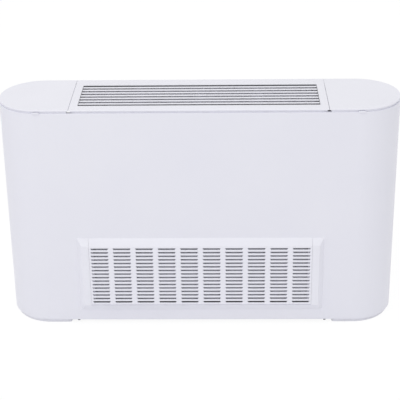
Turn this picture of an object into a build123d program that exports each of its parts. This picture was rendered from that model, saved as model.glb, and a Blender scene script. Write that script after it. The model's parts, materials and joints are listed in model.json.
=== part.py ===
"""Floor-standing air conditioner indoor unit (fan coil unit) in its painted casing.

X runs to the right, Y to the wall behind, Z up. The origin is the middle of the footprint on the
floor. Air is drawn in through the slotted grille low on the front, passes a filter and two
centrifugal wheels, is blown up through a slanted coil and leaves through the louvres on top.
Lengths are millimetres.
"""
from build123d import *
import os
from math import cos, radians, sin

os.makedirs("parts", exist_ok=True)

# Casing
width = 1000.0
body_depth = 220.0
height = 596.0
end_flat = 8.0
sheet = 1.2
rim_height = 9.0
rim_round = 5.0
flange = 10.0
lid_length = 183.3
seam_gap = 1.0
rest_gap = 0.3
end_wrap = 120.0

# Feet and rails
foot_height = 10.0
foot_inset = 6.0
foot_length = 160.0
foot_wall = 3.0
foot_rib_pitch = 36.0
foot_rib = 2.5
foot_corner = 6.0
rail_height = 10.0
rail_width = 24.0
rail_end_gap = 70.0
rail_inset = 40.0
rail_pad = 18.0
rail_pad_place = 40.0

# Intake frame and grille
grille_proud = 12.0
frame_seam_gap = 2.7
frame_bevel = 12.0
frame_base_low = 41.0
frame_base_high = 249.0
frame_face_low = 60.2
frame_face_high = 231.0
frame_wall = 2.5
frame_block = 18.2
panel_gap = 0.4
panel_wall = 3.0
slot_rows = 16
slot_pitch_x = 57.1
slot_pitch_z = 10.2
slot_length = 44.0
slot_height = 4.8
slot_side_margin = 4.0
slot_mid_z = 146.3
slot_rib = 2.5
trunnion_radius = 2.5
trunnion_length = 5.6
trunnion_lift = 0.5
boss_wall = 2.0
running_gap = 0.08
window_margin = 1.5

# Filter
filter_thickness = 5.0
filter_border = 8.0
filter_bars = 4
filter_bar_width = 4.0
filter_web = 2.2
filter_front_gap = 1.3
filter_tab_half = 18.0
filter_tab_rise = 4.0
rail_lip = 1.0
rail_reach = 8.0
side_play = 1.0
mesh_thickness = 0.8

# Outlet
opening_end_margin = 20.2
opening_front_margin = 30.0
opening_rear_margin = 42.0
cover_skin = 2.0
collar_wall = 1.5
collar_drop = 6.0
louvre_bars = 7
bar_top = 8.6
bar_foot = 3.4
bar_depth = 15.0
bar_lean = 2.4
bar_edge = 0.9
louvre_sink = 1.4
louvre_wall = 2.0
louvre_fit = 0.2
louvre_ribs = 3
louvre_rib = 3.0

# Chassis
chassis_seam_gap = 7.5
chassis_front = 15.0
chassis_foot_z = 20.0
deck_z = 240.0
deck_thickness = 1.2
rail_angle = 16.0
upper_rail_drop = 40.0
keyhole_inset = 29.2
keyhole_low_z = 60.0
keyhole_drop = 56.0
wall_hole_radius = 4.5
bead_depth = 3.0
bead_width = 14.0
bead_offset = 60.0
rear_flange = 14.0
cable_hole_radius = 9.0

# Lid hinges
lid_skin = 3.0
lid_rib = 2.0
lid_rib_places = (50.0, 96.0)
hinge_inset = 6.5
hinge_drop = 6.0
pin_radius = 1.5
pin_end = 1.2
ear_radius = 2.6
lid_boss_radius = 3.0
ear_thickness = 2.0
boss_thickness = 4.0
boss_play = 2.0
ear_start = 13.3
ear_span = 56.0
bracket_sheet = 1.5
bracket_low = 28.0
bracket_high = 12.0
bracket_foot = 22.0
tab_place = 79.3
tab_width = 17.0
tab_proud = 3.5
tab_height = 3.2

# Fan
fan_rear_gap = 8.8
fan_motor_gap = 19.0
fan_end_gap = 53.0
fan_z = 150.0
wheel_radius = 62.0
wheel_disc = 2.0
blade_depth = 11.5
blade_count = 26
blade_thickness = 1.1
blade_sweep = 9.0
blade_bow = 2.6
blade_recess = 0.6
wheel_ring = 3.0
shaft_radius = 5.0
shaft_overhang = 18.0
hub_radius = 13.0
hub_length = 26.0
scroll_clearance = 8.0
scroll_growth = 18.0
scroll_start_angle = 125.0
scroll_wall = 2.0
scroll_side_gap = 8.0
inlet_inside = 0.5
inlet_lip = 4.0

# Motor
motor_radius = 44.0
motor_half = 34.0
motor_ribs = 6
motor_rib_width = 3.0
motor_rib_height = 2.5
motor_rib_inset = 6.0
bell_radius = 34.0
bell_length = 8.0
bell_gap = 0.4
boss_radius = 16.0
boss_half = 56.0
bearing_radius = 11.0
bearing_width = 8.0
bearing_inset = 0.2
mount_ring_radius = 22.0
mount_ring_width = 6.0
mount_ring_inset = 4.0
cradle_width = 52.0
cradle_sheet = 2.0
cradle_band = 8.0
cradle_foot = 14.0
fit_gap = 0.1
shaft_gap = 0.05
press_gap = 0.02

# Coil
coil_tilt = 35.0
coil_height = 200.0
coil_thickness = 66.0
coil_front_gap = 3.41
coil_pan_gap = 7.15
coil_margin = 1.0
coil_window_inset = 8.0
coil_tubes = 6
row_pitch = 22.0
coil_tube_radius = 4.8
coil_plate = 1.5
bend_run = 6.0
header_radius = 9.0
header_gap = 44.0
header_short = 36.0
header_shift = 24.0
outlet_radius = 8.0
outlet_low_inset = 4.0
outlet_high_inset = 44.0
vent_length = 16.0
vent_radius = 5.5
vent_seat = 8.0
bleed_radius = 2.5
bleed_head = 4.0
bleed_head_rim = 1.1
bleed_slot = 1.0
socket_radius = 17.0
socket_bore = 12.1
socket_depth = 16.0
socket_length = 24.0
socket_recess = 16.0

# Drain
pan_wall = 1.5
pan_height = 42.0
pan_side_gap = 2.0
pan_mouth_gap = 5.0
pan_foam = 8.8
spout_half = 10.0
spout_lift = 5.0
spout_reach = 16.0
tray_width = 90.0
tray_height = 22.0
tray_drop = 35.0
tray_wall = 2.0
tray_front_gap = 4.0
tray_rear_gap = 30.0
tray_corner = 14.0
spigot_radius = 8.0
spigot_wall = 2.0
spigot_length = 22.0
spigot_lift = 10.0

# Clips
clip_sheet = 1.5
clip_height = 24.0
clip_reach = 18.0
clip_low_z = 60.0
clip_drop = 80.0
screw_radius = 4.6
screw_head = 2.8

# Controls
box_depth = 60.0
box_length = 140.0
box_height = 84.0
box_rim_gap = 15.0
box_front_gap = 17.8
box_wall = 1.5
box_cover_lap = 8.0
box_cover_gap = 0.5
terminal_back = 52.0
terminal_drop = 42.0
terminal_height = 22.0
terminal_depth = 16.0
terminal_count = 8
terminal_pitch = 9.0
can_radius = 15.0
can_length = 52.0
can_gap = 4.0
tag_half = 5.0
tag_rise = 8.0
gland_bore = 4.5
gland_wall = 2.5
gland_nut = 5.5
gland_length = 16.0
gland_lift = 24.0

# Places worked out from the sizes above
mid_y = grille_proud / 2
front_y = mid_y - body_depth / 2
back_y = mid_y + body_depth / 2
grille_y = front_y - grille_proud
end_radius = (body_depth - end_flat) / 2
seam_x = width / 2 - lid_length
wrap_x = width / 2 - end_wrap
rim_z = height - rim_height
inner_front_y = front_y + sheet
chassis_y = front_y + chassis_front + sheet
chassis_back_y = back_y - sheet
chassis_half = seam_x - chassis_seam_gap
plate_x = chassis_half - sheet
foot_x = width / 2 - foot_length
rail_half_length = width / 2 - rail_end_gap
rail_offset = body_depth / 2 - rail_inset
frame_base_half = seam_x - frame_seam_gap
frame_face_half = frame_base_half - frame_bevel
panel_half = frame_face_half - frame_block
slot_field = 2 * (panel_half - slot_side_margin)
slot_columns = int((slot_field + slot_pitch_x - slot_length) / slot_pitch_x)
tilt_y = grille_y + panel_wall
tilt_z = frame_face_low + rest_gap + panel_wall + trunnion_lift
window_half = panel_half + window_margin
window_low = frame_face_low + 0.8
window_high = frame_face_high + 2.0
filter_front = inner_front_y + filter_front_gap
filter_back = filter_front + filter_thickness
filter_half = panel_half - panel_wall - side_play - rail_lip - 2.0
filter_low = tilt_z + trunnion_radius
filter_high = frame_face_high - 5.0
opening_half_x = seam_x - opening_end_margin
opening_half_y = (body_depth - opening_front_margin - opening_rear_margin) / 2
opening_y = front_y + opening_front_margin + opening_half_y
keyhole_x = chassis_half - keyhole_inset
keyhole_high_z = height - keyhole_drop
hinge_y = back_y - hinge_inset
hinge_z = height - hinge_drop
ear_inner_x = seam_x + ear_start
ear_outer_x = ear_inner_x + ear_span
tab_x = seam_x + tab_place
scroll_start = wheel_radius + scroll_clearance
wheel_inner = wheel_radius - blade_depth
inlet_radius = wheel_inner - inlet_inside
ring_mid = boss_half - mount_ring_inset
scroll_inner_x = boss_half + fan_motor_gap
scroll_half = (plate_x - fan_end_gap - scroll_inner_x) / 2
fan_mid_x = scroll_inner_x + scroll_half
wheel_width = 2 * (scroll_half - scroll_wall - scroll_side_gap)
fan_y = chassis_back_y - fan_rear_gap - scroll_start - scroll_growth
mouth_front = fan_y + (scroll_start - scroll_wall) * cos(radians(scroll_start_angle))
mouth_rear = fan_y + scroll_start + scroll_growth - scroll_wall
deck_top = deck_z + deck_thickness
pan_z = deck_top + pan_foam
pan_rear_y = mouth_front - pan_mouth_gap
slope = radians(coil_tilt)
coil_y = chassis_y + coil_front_gap + (coil_height * sin(slope) + coil_thickness * cos(slope)) / 2
coil_z = pan_z + pan_height + coil_pan_gap + (coil_height * cos(slope) + coil_thickness * sin(slope)) / 2
header_length = coil_height - header_short
outlet_low = outlet_low_inset - coil_height / 2
outlet_high = coil_height / 2 - outlet_high_inset
socket_end_y = back_y - socket_recess
tray_z = deck_z - tray_drop
box_high_z = rim_z - box_rim_gap
box_low_z = box_high_z - box_height
box_front_y = chassis_y + box_front_gap
box_rear_y = box_front_y + box_length
terminal_y = box_rear_y - terminal_back

def slab(x0, x1, y0, y1, z0, z1):
    """A box between two corners."""
    return Pos((x0 + x1) / 2, (y0 + y1) / 2, (z0 + z1) / 2) * Box(x1 - x0, y1 - y0, z1 - z0)


def rod_x(x0, x1, y, z, radius):
    """A round bar along X."""
    return Pos((x0 + x1) / 2, y, z) * Rot(0, 90, 0) * Cylinder(radius, x1 - x0)


def rod_y(y0, y1, x, z, radius):
    """A round bar along Y."""
    return Pos(x, (y0 + y1) / 2, z) * Rot(90, 0, 0) * Cylinder(radius, y1 - y0)


def rod_z(z0, z1, x, y, radius):
    """An upright round bar."""
    return Pos(x, y, (z0 + z1) / 2) * Cylinder(radius, z1 - z0)


def plan(inset):
    """The outline of the casing seen from above, drawn in by a distance."""
    long, deep = width - 2 * inset, body_depth - 2 * inset
    return Pos(0, mid_y) * RectangleRounded(long, deep, end_radius - inset)


def plan_ring(outer, inner, z0, z1):
    """A band that follows the casing outline between two insets and two heights."""
    return Pos(0, 0, z0) * extrude(plan(outer) - plan(inner), z1 - z0)


def across(profile, x0, x1):
    """A profile in (y, z), drawn out along X."""
    return extrude(Plane.YZ.offset(x0) * profile, x1 - x0)


def other_side(part):
    """The left-hand twin of a right-hand piece."""
    return mirror(part, about=Plane.YZ)


def save(node, shape):
    """Write one named piece, or one named group of like pieces."""
    solids = list(shape) if isinstance(shape, (list, tuple)) else list(shape.solids())
    flat = []
    for piece in solids:
        flat.extend(piece.solids())
    whole = flat[0] if len(flat) == 1 else Compound(children=flat)
    whole.label = node
    export_step(whole, f"parts/{node}.step")


def casing():
    """Painted sheet wrapped round the front and both ends, open to the wall at the back."""
    shell = plan_ring(0, sheet, foot_height, rim_z)
    shell += plan_ring(sheet / 2, sheet + flange, rim_z - sheet, rim_z)
    shell += plan_ring(sheet / 2, sheet + flange, foot_height, foot_height + sheet)
    shell -= slab(-wrap_x, wrap_x, mid_y, back_y + 1, 0, height)
    relief_x = ear_outer_x + ear_span
    relief = slab(-relief_x, relief_x, hinge_y - 2 * hinge_inset, back_y + 1, rim_z - rim_height, height)
    shell -= relief
    shell -= slab(-window_half, window_half, front_y - 1, mid_y - end_radius / 2, window_low, window_high)
    return shell


def lid():
    """Hinged cover over the right-hand bay, with a finger tab on its front edge."""
    start_x = seam_x + seam_gap / 2
    low_z = rim_z + rest_gap
    keep = slab(start_x, width, -width, width, 0, 2 * height)
    cover = Pos(0, 0, low_z) * extrude(plan(0), height - low_z) & keep
    top_edges = cover.faces().sort_by(Axis.Z)[-1].edges()
    cover = fillet([e for e in top_edges if e.center().X > start_x + 1], rim_round)
    hollow = Pos(0, 0, low_z - 1) * extrude(plan(lid_skin), height - lid_skin - low_z + 1)
    cover -= hollow & slab(start_x + lid_skin, width, -width, width, 0, 2 * height)
    rib_low = low_z + 1
    for place in lid_rib_places:
        rib_x = seam_x + place
        cover += slab(rib_x, rib_x + lid_rib, front_y + 2, hinge_y - 2 * hinge_drop, rib_low, height - 1)
    cover += slab(start_x + 1, tab_x + 30, mid_y - lid_rib / 2, mid_y + lid_rib / 2, rib_low, height - 1)
    for boss_x in (ear_inner_x + ear_thickness + boss_play, ear_outer_x - boss_thickness - boss_play):
        boss = rod_x(boss_x, boss_x + boss_thickness, hinge_y, hinge_z, lid_boss_radius)
        boss += slab(boss_x, boss_x + boss_thickness, hinge_y - lid_boss_radius,
                     hinge_y + lid_boss_radius, hinge_z, height - 1)
        cover += boss
    cover -= rod_x(ear_inner_x - 4, ear_outer_x + 6, hinge_y, hinge_z, pin_radius + running_gap)
    for ear_x in (ear_inner_x, ear_outer_x):
        cover -= slab(ear_x - 1, ear_x + ear_thickness + 1, hinge_y - ear_radius - 1, back_y + 1,
                      low_z - 1, hinge_z + lid_boss_radius)
    tab = slab(tab_x - tab_width / 2, tab_x + tab_width / 2, front_y - tab_proud, front_y + 2,
               low_z, low_z + tab_height)
    tab = fillet(tab.edges().filter_by(Axis.Z).group_by(Axis.Y)[0], tab_proud * 0.8)
    return cover + tab


def hinge_bracket():
    """Strip screwed to the chassis end, with two upright ears for the lid pin."""
    strip_y = hinge_y + ear_radius
    low, high = hinge_z - bracket_low, hinge_z - bracket_high
    bracket = slab(chassis_half, ear_outer_x + ear_thickness, strip_y - bracket_sheet, strip_y, low, high)
    bracket += slab(chassis_half, chassis_half + bracket_sheet, hinge_y - bracket_foot, strip_y, low, high)
    for ear_x in (ear_inner_x, ear_outer_x):
        ear = slab(ear_x, ear_x + ear_thickness, hinge_y - ear_radius, strip_y, low, hinge_z)
        bracket += ear + rod_x(ear_x, ear_x + ear_thickness, hinge_y, hinge_z, ear_radius)
    return bracket - rod_x(ear_inner_x - 1, ear_outer_x + 4, hinge_y, hinge_z, pin_radius + press_gap)


def lid_pin():
    """Steel pin that carries one lid."""
    return rod_x(ear_inner_x - pin_end, ear_outer_x + ear_thickness + pin_end, hinge_y, hinge_z, pin_radius)


def foot():
    """Moulded foot under one rounded end: a skirt and a top plate stiffened by ribs."""
    keep = slab(foot_x, width, -width, width, 0, height)
    block = extrude(plan(foot_inset), foot_height) & keep
    block = fillet(block.edges().filter_by(Axis.Z).group_by(Axis.X)[0], foot_corner)
    inner = Pos(0, 0, -1) * extrude(plan(foot_inset + foot_wall), foot_height - foot_wall + 1)
    hollow = inner & slab(foot_x + foot_wall, width, -width, width, -1, height)
    ribs = slab(foot_x, width / 2 - foot_inset, mid_y - foot_rib / 2, mid_y + foot_rib / 2, 0, foot_height)
    for count in range(1, 4):
        rib_x = foot_x + count * foot_rib_pitch
        ribs += slab(rib_x - foot_rib / 2, rib_x + foot_rib / 2, front_y, back_y, 0, foot_height)
    block -= hollow - ribs
    return block


def rail(y):
    """Channel that stands on both feet and carries the chassis."""
    low, high = foot_height, foot_height + rail_height
    front, rear = y - rail_width / 2, y + rail_width / 2
    bar = slab(-rail_half_length, rail_half_length, front, rear, low, high)
    bar -= slab(-width, width, front + sheet, rear - sheet, low - 1, high - sheet)
    for side in (-1, 1):
        end = side * rail_half_length
        pad_x = side * (foot_x + rail_pad_place)
        bar += slab(pad_x - rail_pad / 2, pad_x + rail_pad / 2, front, rear, low, low + 2)
        bar -= slab(end - 1, end + 1, y - rail_width, y + rail_width, high - 3, high + 1)
    return bar


def coil_point(across_rows, along):
    """Place in (y, z) of a point of the slanted coil, from its middle."""
    y = coil_y + across_rows * cos(slope) + along * sin(slope)
    z = coil_z - across_rows * sin(slope) + along * cos(slope)
    return y, z


def coil_block(x0, x1, thickness, tall):
    """A slab lying in the slant of the coil."""
    return Pos((x0 + x1) / 2, coil_y, coil_z) * Rot(-coil_tilt, 0, 0) * Box(x1 - x0, thickness, tall)


def end_plate():
    """Folded end of the chassis, with the window that the coil tubes pass through."""
    plate = slab(plate_x, chassis_half, chassis_y, chassis_back_y, chassis_foot_z, rim_z - sheet)
    plate += slab(plate_x, chassis_half + flange, chassis_y, chassis_y + sheet, chassis_foot_z, rim_z - 12)
    plate += slab(plate_x, chassis_half + flange, chassis_back_y - sheet, chassis_back_y,
                  chassis_foot_z, hinge_z - bracket_low - hinge_drop)
    plate += slab(plate_x, chassis_half + flange, chassis_y, chassis_back_y,
                  chassis_foot_z, chassis_foot_z + sheet)
    window = 2 * coil_window_inset
    plate -= coil_block(plate_x - 1, chassis_half + 1, coil_thickness - window, coil_height - window)
    plate -= rod_x(plate_x - 1, chassis_half + 1, box_front_y + 30, deck_z + 90, cable_hole_radius)
    return plate


def rear_plate():
    """Galvanised back with pressed stiffening beads and four wall fixing holes."""
    plate = slab(-chassis_half, chassis_half, chassis_back_y, back_y, chassis_foot_z, rim_z)
    plate += slab(-chassis_half, chassis_half, back_y - rear_flange, back_y, rim_z - sheet, rim_z)
    for bead_z in (keyhole_low_z + bead_offset, keyhole_high_z - bead_offset):
        half = keyhole_x
        outer = slab(-half, half, chassis_back_y - bead_depth, chassis_back_y,
                     bead_z - bead_width / 2, bead_z + bead_width / 2)
        outer = chamfer(outer.faces().sort_by(Axis.Y)[0].edges(), bead_depth * 0.8)
        plate += outer
        plate -= slab(-half + 4, half - 4, chassis_back_y - bead_depth + sheet, back_y + 1,
                      bead_z - bead_width / 2 + 3, bead_z + bead_width / 2 - 3)
    for x in (-keyhole_x, keyhole_x):
        for z in (keyhole_low_z, keyhole_high_z):
            plate -= rod_y(chassis_back_y - 1, back_y + 1, x, z, wall_hole_radius)
    return plate


def deck():
    """Plate between the intake chamber and the coil, with a mouth for each scroll."""
    plate = slab(-plate_x, plate_x, chassis_y, chassis_back_y, deck_z, deck_top)
    plate += slab(-plate_x, plate_x, chassis_y, chassis_y + sheet, deck_z - flange, deck_top)
    half = scroll_half - scroll_wall
    for side in (-1, 1):
        mid = side * fan_mid_x
        plate -= slab(mid - half, mid + half, mouth_front, mouth_rear, deck_z - 1, deck_top + 1)
    return plate


def front_rail(z):
    """Angle that ties the front edges of the chassis ends."""
    rail_part = slab(-plate_x, plate_x, chassis_y, chassis_y + sheet, z, z + rail_angle)
    rail_part += slab(-plate_x, plate_x, chassis_y, chassis_y + rail_angle, z, z + sheet)
    return rail_part


def scroll_radius(angle):
    """Radius of the scroll wall, growing evenly round the wheel to the rear."""
    turned = (angle - scroll_start_angle) / (360 - scroll_start_angle)
    return scroll_start + scroll_growth * turned


def scroll_outline(inset, top):
    """Closed outline in (y, z) of the scroll, drawn in by a distance, up to a height."""
    def at(angle):
        radius = scroll_radius(angle) - inset
        return fan_y + radius * cos(radians(angle)), fan_z + radius * sin(radians(angle))
    stations = [scroll_start_angle + step * (360 - scroll_start_angle) / 8 for step in range(9)]
    arcs = [ThreePointArc(at(stations[i]), at(stations[i + 1]), at(stations[i + 2])) for i in (0, 2, 4, 6)]
    start, end = at(stations[0]), at(stations[-1])
    sides = Polyline(end, (end[0], top), (start[0], top), start)
    return make_face(Curve() + arcs + sides)


def scroll():
    """Double-inlet scroll housing round the right-hand wheel, open at the deck."""
    half = scroll_half - scroll_wall
    housing = across(scroll_outline(0, deck_z), fan_mid_x - scroll_half, fan_mid_x + scroll_half)
    housing -= across(scroll_outline(scroll_wall, deck_z + 1), fan_mid_x - half, fan_mid_x + half)
    for side in (-1, 1):
        face_x = fan_mid_x + side * scroll_half
        low, high = sorted((face_x, face_x + side * inlet_lip))
        housing += rod_x(low, high, fan_y, fan_z, inlet_radius + scroll_wall)
    reach = scroll_half + inlet_lip + 1
    housing -= rod_x(fan_mid_x - reach, fan_mid_x + reach, fan_y, fan_z, inlet_radius)
    return housing


def blade():
    """Section in (y, z) of one forward-curved blade: a strip bent once, from inner to outer rim."""
    def polar(radius, angle, lift):
        y = radius * cos(radians(angle)) - lift * sin(radians(angle))
        z = radius * sin(radians(angle)) + lift * cos(radians(angle))
        return y, z
    tip = wheel_radius - blade_recess
    middle = (wheel_inner + tip) / 2
    near = [polar(wheel_inner, 0, 0), polar(middle, blade_sweep / 2, -blade_bow), polar(tip, blade_sweep, 0)]
    far = [polar(tip, blade_sweep, blade_thickness),
           polar(middle, blade_sweep / 2, blade_thickness - blade_bow),
           polar(wheel_inner, 0, blade_thickness)]
    return make_face(Polyline(*near, *far, near[0]))


def wheel():
    """Squirrel-cage wheel: hub, middle disc, a rim at each end and curved blades."""
    x0, x1 = fan_mid_x - wheel_width / 2, fan_mid_x + wheel_width / 2
    body = rod_x(fan_mid_x - wheel_disc / 2, fan_mid_x + wheel_disc / 2, 0, 0, wheel_radius)
    body += rod_x(fan_mid_x - hub_length / 2, fan_mid_x + hub_length / 2, 0, 0, hub_radius)
    for edge in (x0, x1 - wheel_ring):
        rim = rod_x(edge, edge + wheel_ring, 0, 0, wheel_radius)
        body += rim - rod_x(edge - 1, edge + wheel_ring + 1, 0, 0, inlet_radius)
    one = across(blade(), x0 + wheel_ring, x1 - wheel_ring)
    body += [Rot(360 / blade_count * turn, 0, 0) * one for turn in range(blade_count)]
    body -= rod_x(fan_mid_x - hub_length, fan_mid_x + hub_length, 0, 0, shaft_radius + press_gap)
    return Pos(0, fan_y, fan_z) * body


def motor():
    """Fan motor: a ribbed drum, an end bell and a bearing boss at each end."""
    drum = rod_x(-motor_half, motor_half, 0, 0, motor_radius)
    for turn in range(motor_ribs):
        half = motor_half - motor_rib_inset
        rib = slab(-half, half, -motor_rib_width / 2, motor_rib_width / 2,
                   motor_radius - 1, motor_radius + motor_rib_height)
        drum += Rot(360 / motor_ribs * turn, 0, 0) * rib
    drum += rod_x(-motor_half - bell_length, motor_half + bell_length, 0, 0, bell_radius)
    drum += rod_x(-boss_half, boss_half, 0, 0, boss_radius)
    drum -= rod_x(-boss_half - 1, boss_half + 1, 0, 0, shaft_radius + bell_gap)
    for side in (-1, 1):
        low, high = sorted((side * (boss_half - bearing_width), side * (boss_half + 1)))
        drum -= rod_x(low, high, 0, 0, bearing_radius + fit_gap)
    return Pos(0, fan_y, fan_z) * drum


def ring_x(x0, x1, inner, outer):
    """A plain ring round the fan axis."""
    return rod_x(x0, x1, fan_y, fan_z, outer) - rod_x(x0 - 1, x1 + 1, fan_y, fan_z, inner)


def cradle():
    """Hanger under the deck that holds one end of the motor in a rubber ring."""
    x0, x1 = ring_mid - cradle_sheet / 2, ring_mid + cradle_sheet / 2
    front, rear = fan_y - cradle_width / 2, fan_y + cradle_width / 2
    plate = rod_x(x0, x1, fan_y, fan_z, mount_ring_radius + cradle_band)
    plate += slab(x0, x1, front, rear, fan_z, deck_z)
    plate -= rod_x(x0 - 1, x1 + 1, fan_y, fan_z, mount_ring_radius)
    plate += slab(ring_mid - cradle_foot, x1, front, rear, deck_z - cradle_sheet, deck_z)
    return plate


def frame_form(inset):
    """The bevelled block of the intake surround, drawn in by a wall."""
    base_mid = (frame_base_low + frame_base_high) / 2
    face_mid = (frame_face_low + frame_face_high) / 2
    base = Plane.XZ.offset(-front_y) * Pos(0, base_mid) * Rectangle(
        2 * (frame_base_half - inset), frame_base_high - frame_base_low - 2 * inset)
    face = Plane.XZ.offset(-grille_y - inset) * Pos(0, face_mid) * Rectangle(
        2 * (frame_face_half - inset), frame_face_high - frame_face_low - 2 * inset)
    return loft([base, face])


def intake_frame():
    """Fixed surround: two side blocks and the sill, with a bore for each grille trunnion."""
    inner_x = panel_half + panel_gap
    opening = slab(-inner_x, inner_x, grille_y - 1, front_y + 1, frame_face_low, frame_base_high + 1)
    frame = frame_form(0) - opening
    cave = frame_form(frame_wall) & slab(-width, width, grille_y, front_y + 1, 0, frame_face_low - frame_wall)
    for side in (-1, 1):
        low, high = sorted((side * (inner_x + frame_wall), side * width))
        cave += frame_form(frame_wall) & slab(low, high, grille_y, front_y + 1, 0, height)
    frame -= cave
    for side in (-1, 1):
        low, high = sorted((side * inner_x, side * (inner_x + trunnion_length + boss_wall)))
        frame += rod_x(low, high, tilt_y, tilt_z, trunnion_radius + boss_wall) & frame_form(0)
        low, high = sorted((side * (inner_x - 1), side * (inner_x + trunnion_length + panel_gap)))
        frame -= rod_x(low, high, tilt_y, tilt_z, trunnion_radius + running_gap)
    return frame


def grille():
    """Tilting panel with its rows of slots, ribs, filter runners and moulded trunnions."""
    low_z = frame_face_low + rest_gap
    panel = frame_form(0) & slab(-panel_half, panel_half, grille_y, front_y, low_z, frame_base_high)
    inner = panel_half - panel_wall
    panel -= frame_form(panel_wall) & slab(-inner, inner, grille_y, front_y + 1, 0, frame_base_high)
    panel -= slab(-inner, inner, tilt_y, front_y + 1, low_z - 1, tilt_z + 4)
    panel -= slab(-width, width, tilt_y + 0.1, front_y + 1, low_z - 1, tilt_z + 3)
    front_low = [e for e in panel.edges().filter_by(Axis.X)
                 if abs(e.center().Y - grille_y) < 0.01 and abs(e.center().Z - low_z) < 0.01]
    panel = fillet(front_low, panel_wall - 0.1)
    slots = [Pos(x * slot_pitch_x, z * slot_pitch_z) * Rectangle(slot_length, slot_height)
             for x in steps(slot_columns) for z in steps(slot_rows)]
    pattern = Pos(0, slot_mid_z) * Sketch(children=slots)
    panel -= extrude(Plane.XZ.offset(-tilt_y - 1) * pattern, panel_wall + 2)
    rib_low = slot_mid_z - slot_rows / 2 * slot_pitch_z
    rib_high = slot_mid_z + slot_rows / 2 * slot_pitch_z
    for step in steps(slot_columns - 1):
        x = step * slot_pitch_x
        panel += slab(x - slot_rib / 2, x + slot_rib / 2, tilt_y - 0.5, front_y - 2, rib_low, rib_high)
    for side in (-1, 1):
        panel += runner(side)
        low, high = sorted((side * (panel_half - 5), side * panel_half))
        panel += rod_x(low, high, tilt_y, tilt_z, panel_wall)
        low, high = sorted((side * (panel_half - 1), side * (panel_half + trunnion_length)))
        panel += rod_x(low, high, tilt_y, tilt_z, trunnion_radius)
    return panel


def runner(side):
    """Upright channel on the back of the grille that one edge of the filter slides in."""
    web = filter_half + side_play
    parts = [(web, panel_half, front_y - 2, filter_back + side_play + rail_lip),
             (web - rail_reach, panel_half, filter_front - rail_lip - 0.3, filter_front - 0.3),
             (web - rail_reach, panel_half, filter_back + side_play, filter_back + side_play + rail_lip)]
    channel = Part()
    for x0, x1, y0, y1 in parts:
        low, high = sorted((side * x0, side * x1))
        channel += slab(low, high, y0, y1, tilt_z + 2, filter_high)
    low, high = sorted((side * (web - rail_reach), side * panel_half))
    channel += slab(low, high, filter_front - rail_lip - 0.3, filter_back + side_play + rail_lip,
                    tilt_z + 0.5, filter_low - rest_gap)
    low, high = sorted((side * (panel_half - panel_wall), side * panel_half))
    channel += slab(low, high, front_y - 4, filter_front, tilt_z + 4, filter_high)
    return channel


def steps(count):
    """Evenly spaced whole steps with their middle at nought."""
    return [index - (count - 1) / 2 for index in range(count)]


def filter_frame():
    """Slide-out filter frame with upright bars and a pull tab."""
    frame = slab(-filter_half, filter_half, filter_front, filter_back, filter_low, filter_high)
    half = filter_half - filter_border
    low, high = filter_low + filter_border, filter_high - filter_border
    frame -= slab(-half, half, filter_front - 1, filter_back + 1, low, high)
    web = filter_front + filter_web
    for step in steps(filter_bars):
        x0 = step * 2 * half / (filter_bars + 1) - filter_bar_width / 2
        frame += slab(x0, x0 + filter_bar_width, filter_front, web, low - 1, high + 1)
    frame += slab(-filter_tab_half, filter_tab_half, filter_front, web,
                  filter_high - 1, filter_high + filter_tab_rise)
    return frame


def filter_mesh():
    """Woven filter cloth held inside the frame."""
    half = filter_half - filter_border
    front = filter_front + filter_web + 0.2
    return slab(-half, half, front, front + mesh_thickness,
                filter_low + filter_border, filter_high - filter_border)


def top_cover():
    """Fixed cover between the lids, with the long outlet opening."""
    half = seam_x - seam_gap / 2
    cover = slab(-half, half, front_y, back_y, rim_z, height)
    long_edges = cover.faces().sort_by(Axis.Z)[-1].edges().filter_by(Axis.X)
    cover = fillet(long_edges, rim_round)
    cover -= slab(-half + cover_skin, half - cover_skin, front_y + cover_skin, back_y - cover_skin,
                  rim_z - 1, height - cover_skin)
    x, front, rear = opening_half_x, opening_y - opening_half_y, opening_y + opening_half_y
    cover += slab(-x - collar_wall, x + collar_wall, front - collar_wall, rear + collar_wall,
                  rim_z - collar_drop, height - 1)
    return cover - slab(-x, x, front, rear, rim_z - collar_drop - 1, height + 1)


def louvre():
    """Outlet grille: a rim, leaning blades and cross ribs below them."""
    x, y = opening_half_x - louvre_fit, opening_half_y - louvre_fit
    top = height - louvre_sink
    low = top - bar_depth - 2
    inner_x, inner_y = x - louvre_wall, y - louvre_wall
    rim = slab(-x, x, -y, y, low, top) - slab(-inner_x, inner_x, -inner_y, inner_y, low - 1, top + 1)
    pitch = (2 * opening_half_y + bar_top) / (louvre_bars + 1)
    section = Polyline((-bar_top / 2, 0), (bar_top / 2, 0), (bar_foot / 2 + bar_lean, -bar_depth),
                       (-bar_foot / 2 + bar_lean, -bar_depth), (-bar_top / 2, 0))
    face = make_face(section)
    face = chamfer(face.vertices().group_by(Axis.Y)[-1], bar_edge)
    for step in steps(louvre_bars):
        rim += across(Pos(step * pitch, top) * face, -x + 1, x - 1)
    for step in steps(louvre_ribs):
        rib_x = step * 2 * x / (louvre_ribs + 1)
        rim += slab(rib_x - louvre_rib / 2, rib_x + louvre_rib / 2, -y + 1, y - 1, low, low + 2 * louvre_rib)
    return Pos(0, opening_y, 0) * rim


def coil_end(x0, x1):
    """End plate of the coil, which lies against the chassis end."""
    return coil_block(x0, x1, coil_thickness, coil_height)


def tube_place(row, tube):
    """Place in (y, z) of a coil tube: row 0 is in front, tube 0 is the lowest."""
    return coil_point((row - 0.5) * row_pitch, steps(coil_tubes)[tube] * coil_height / coil_tubes)


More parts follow.
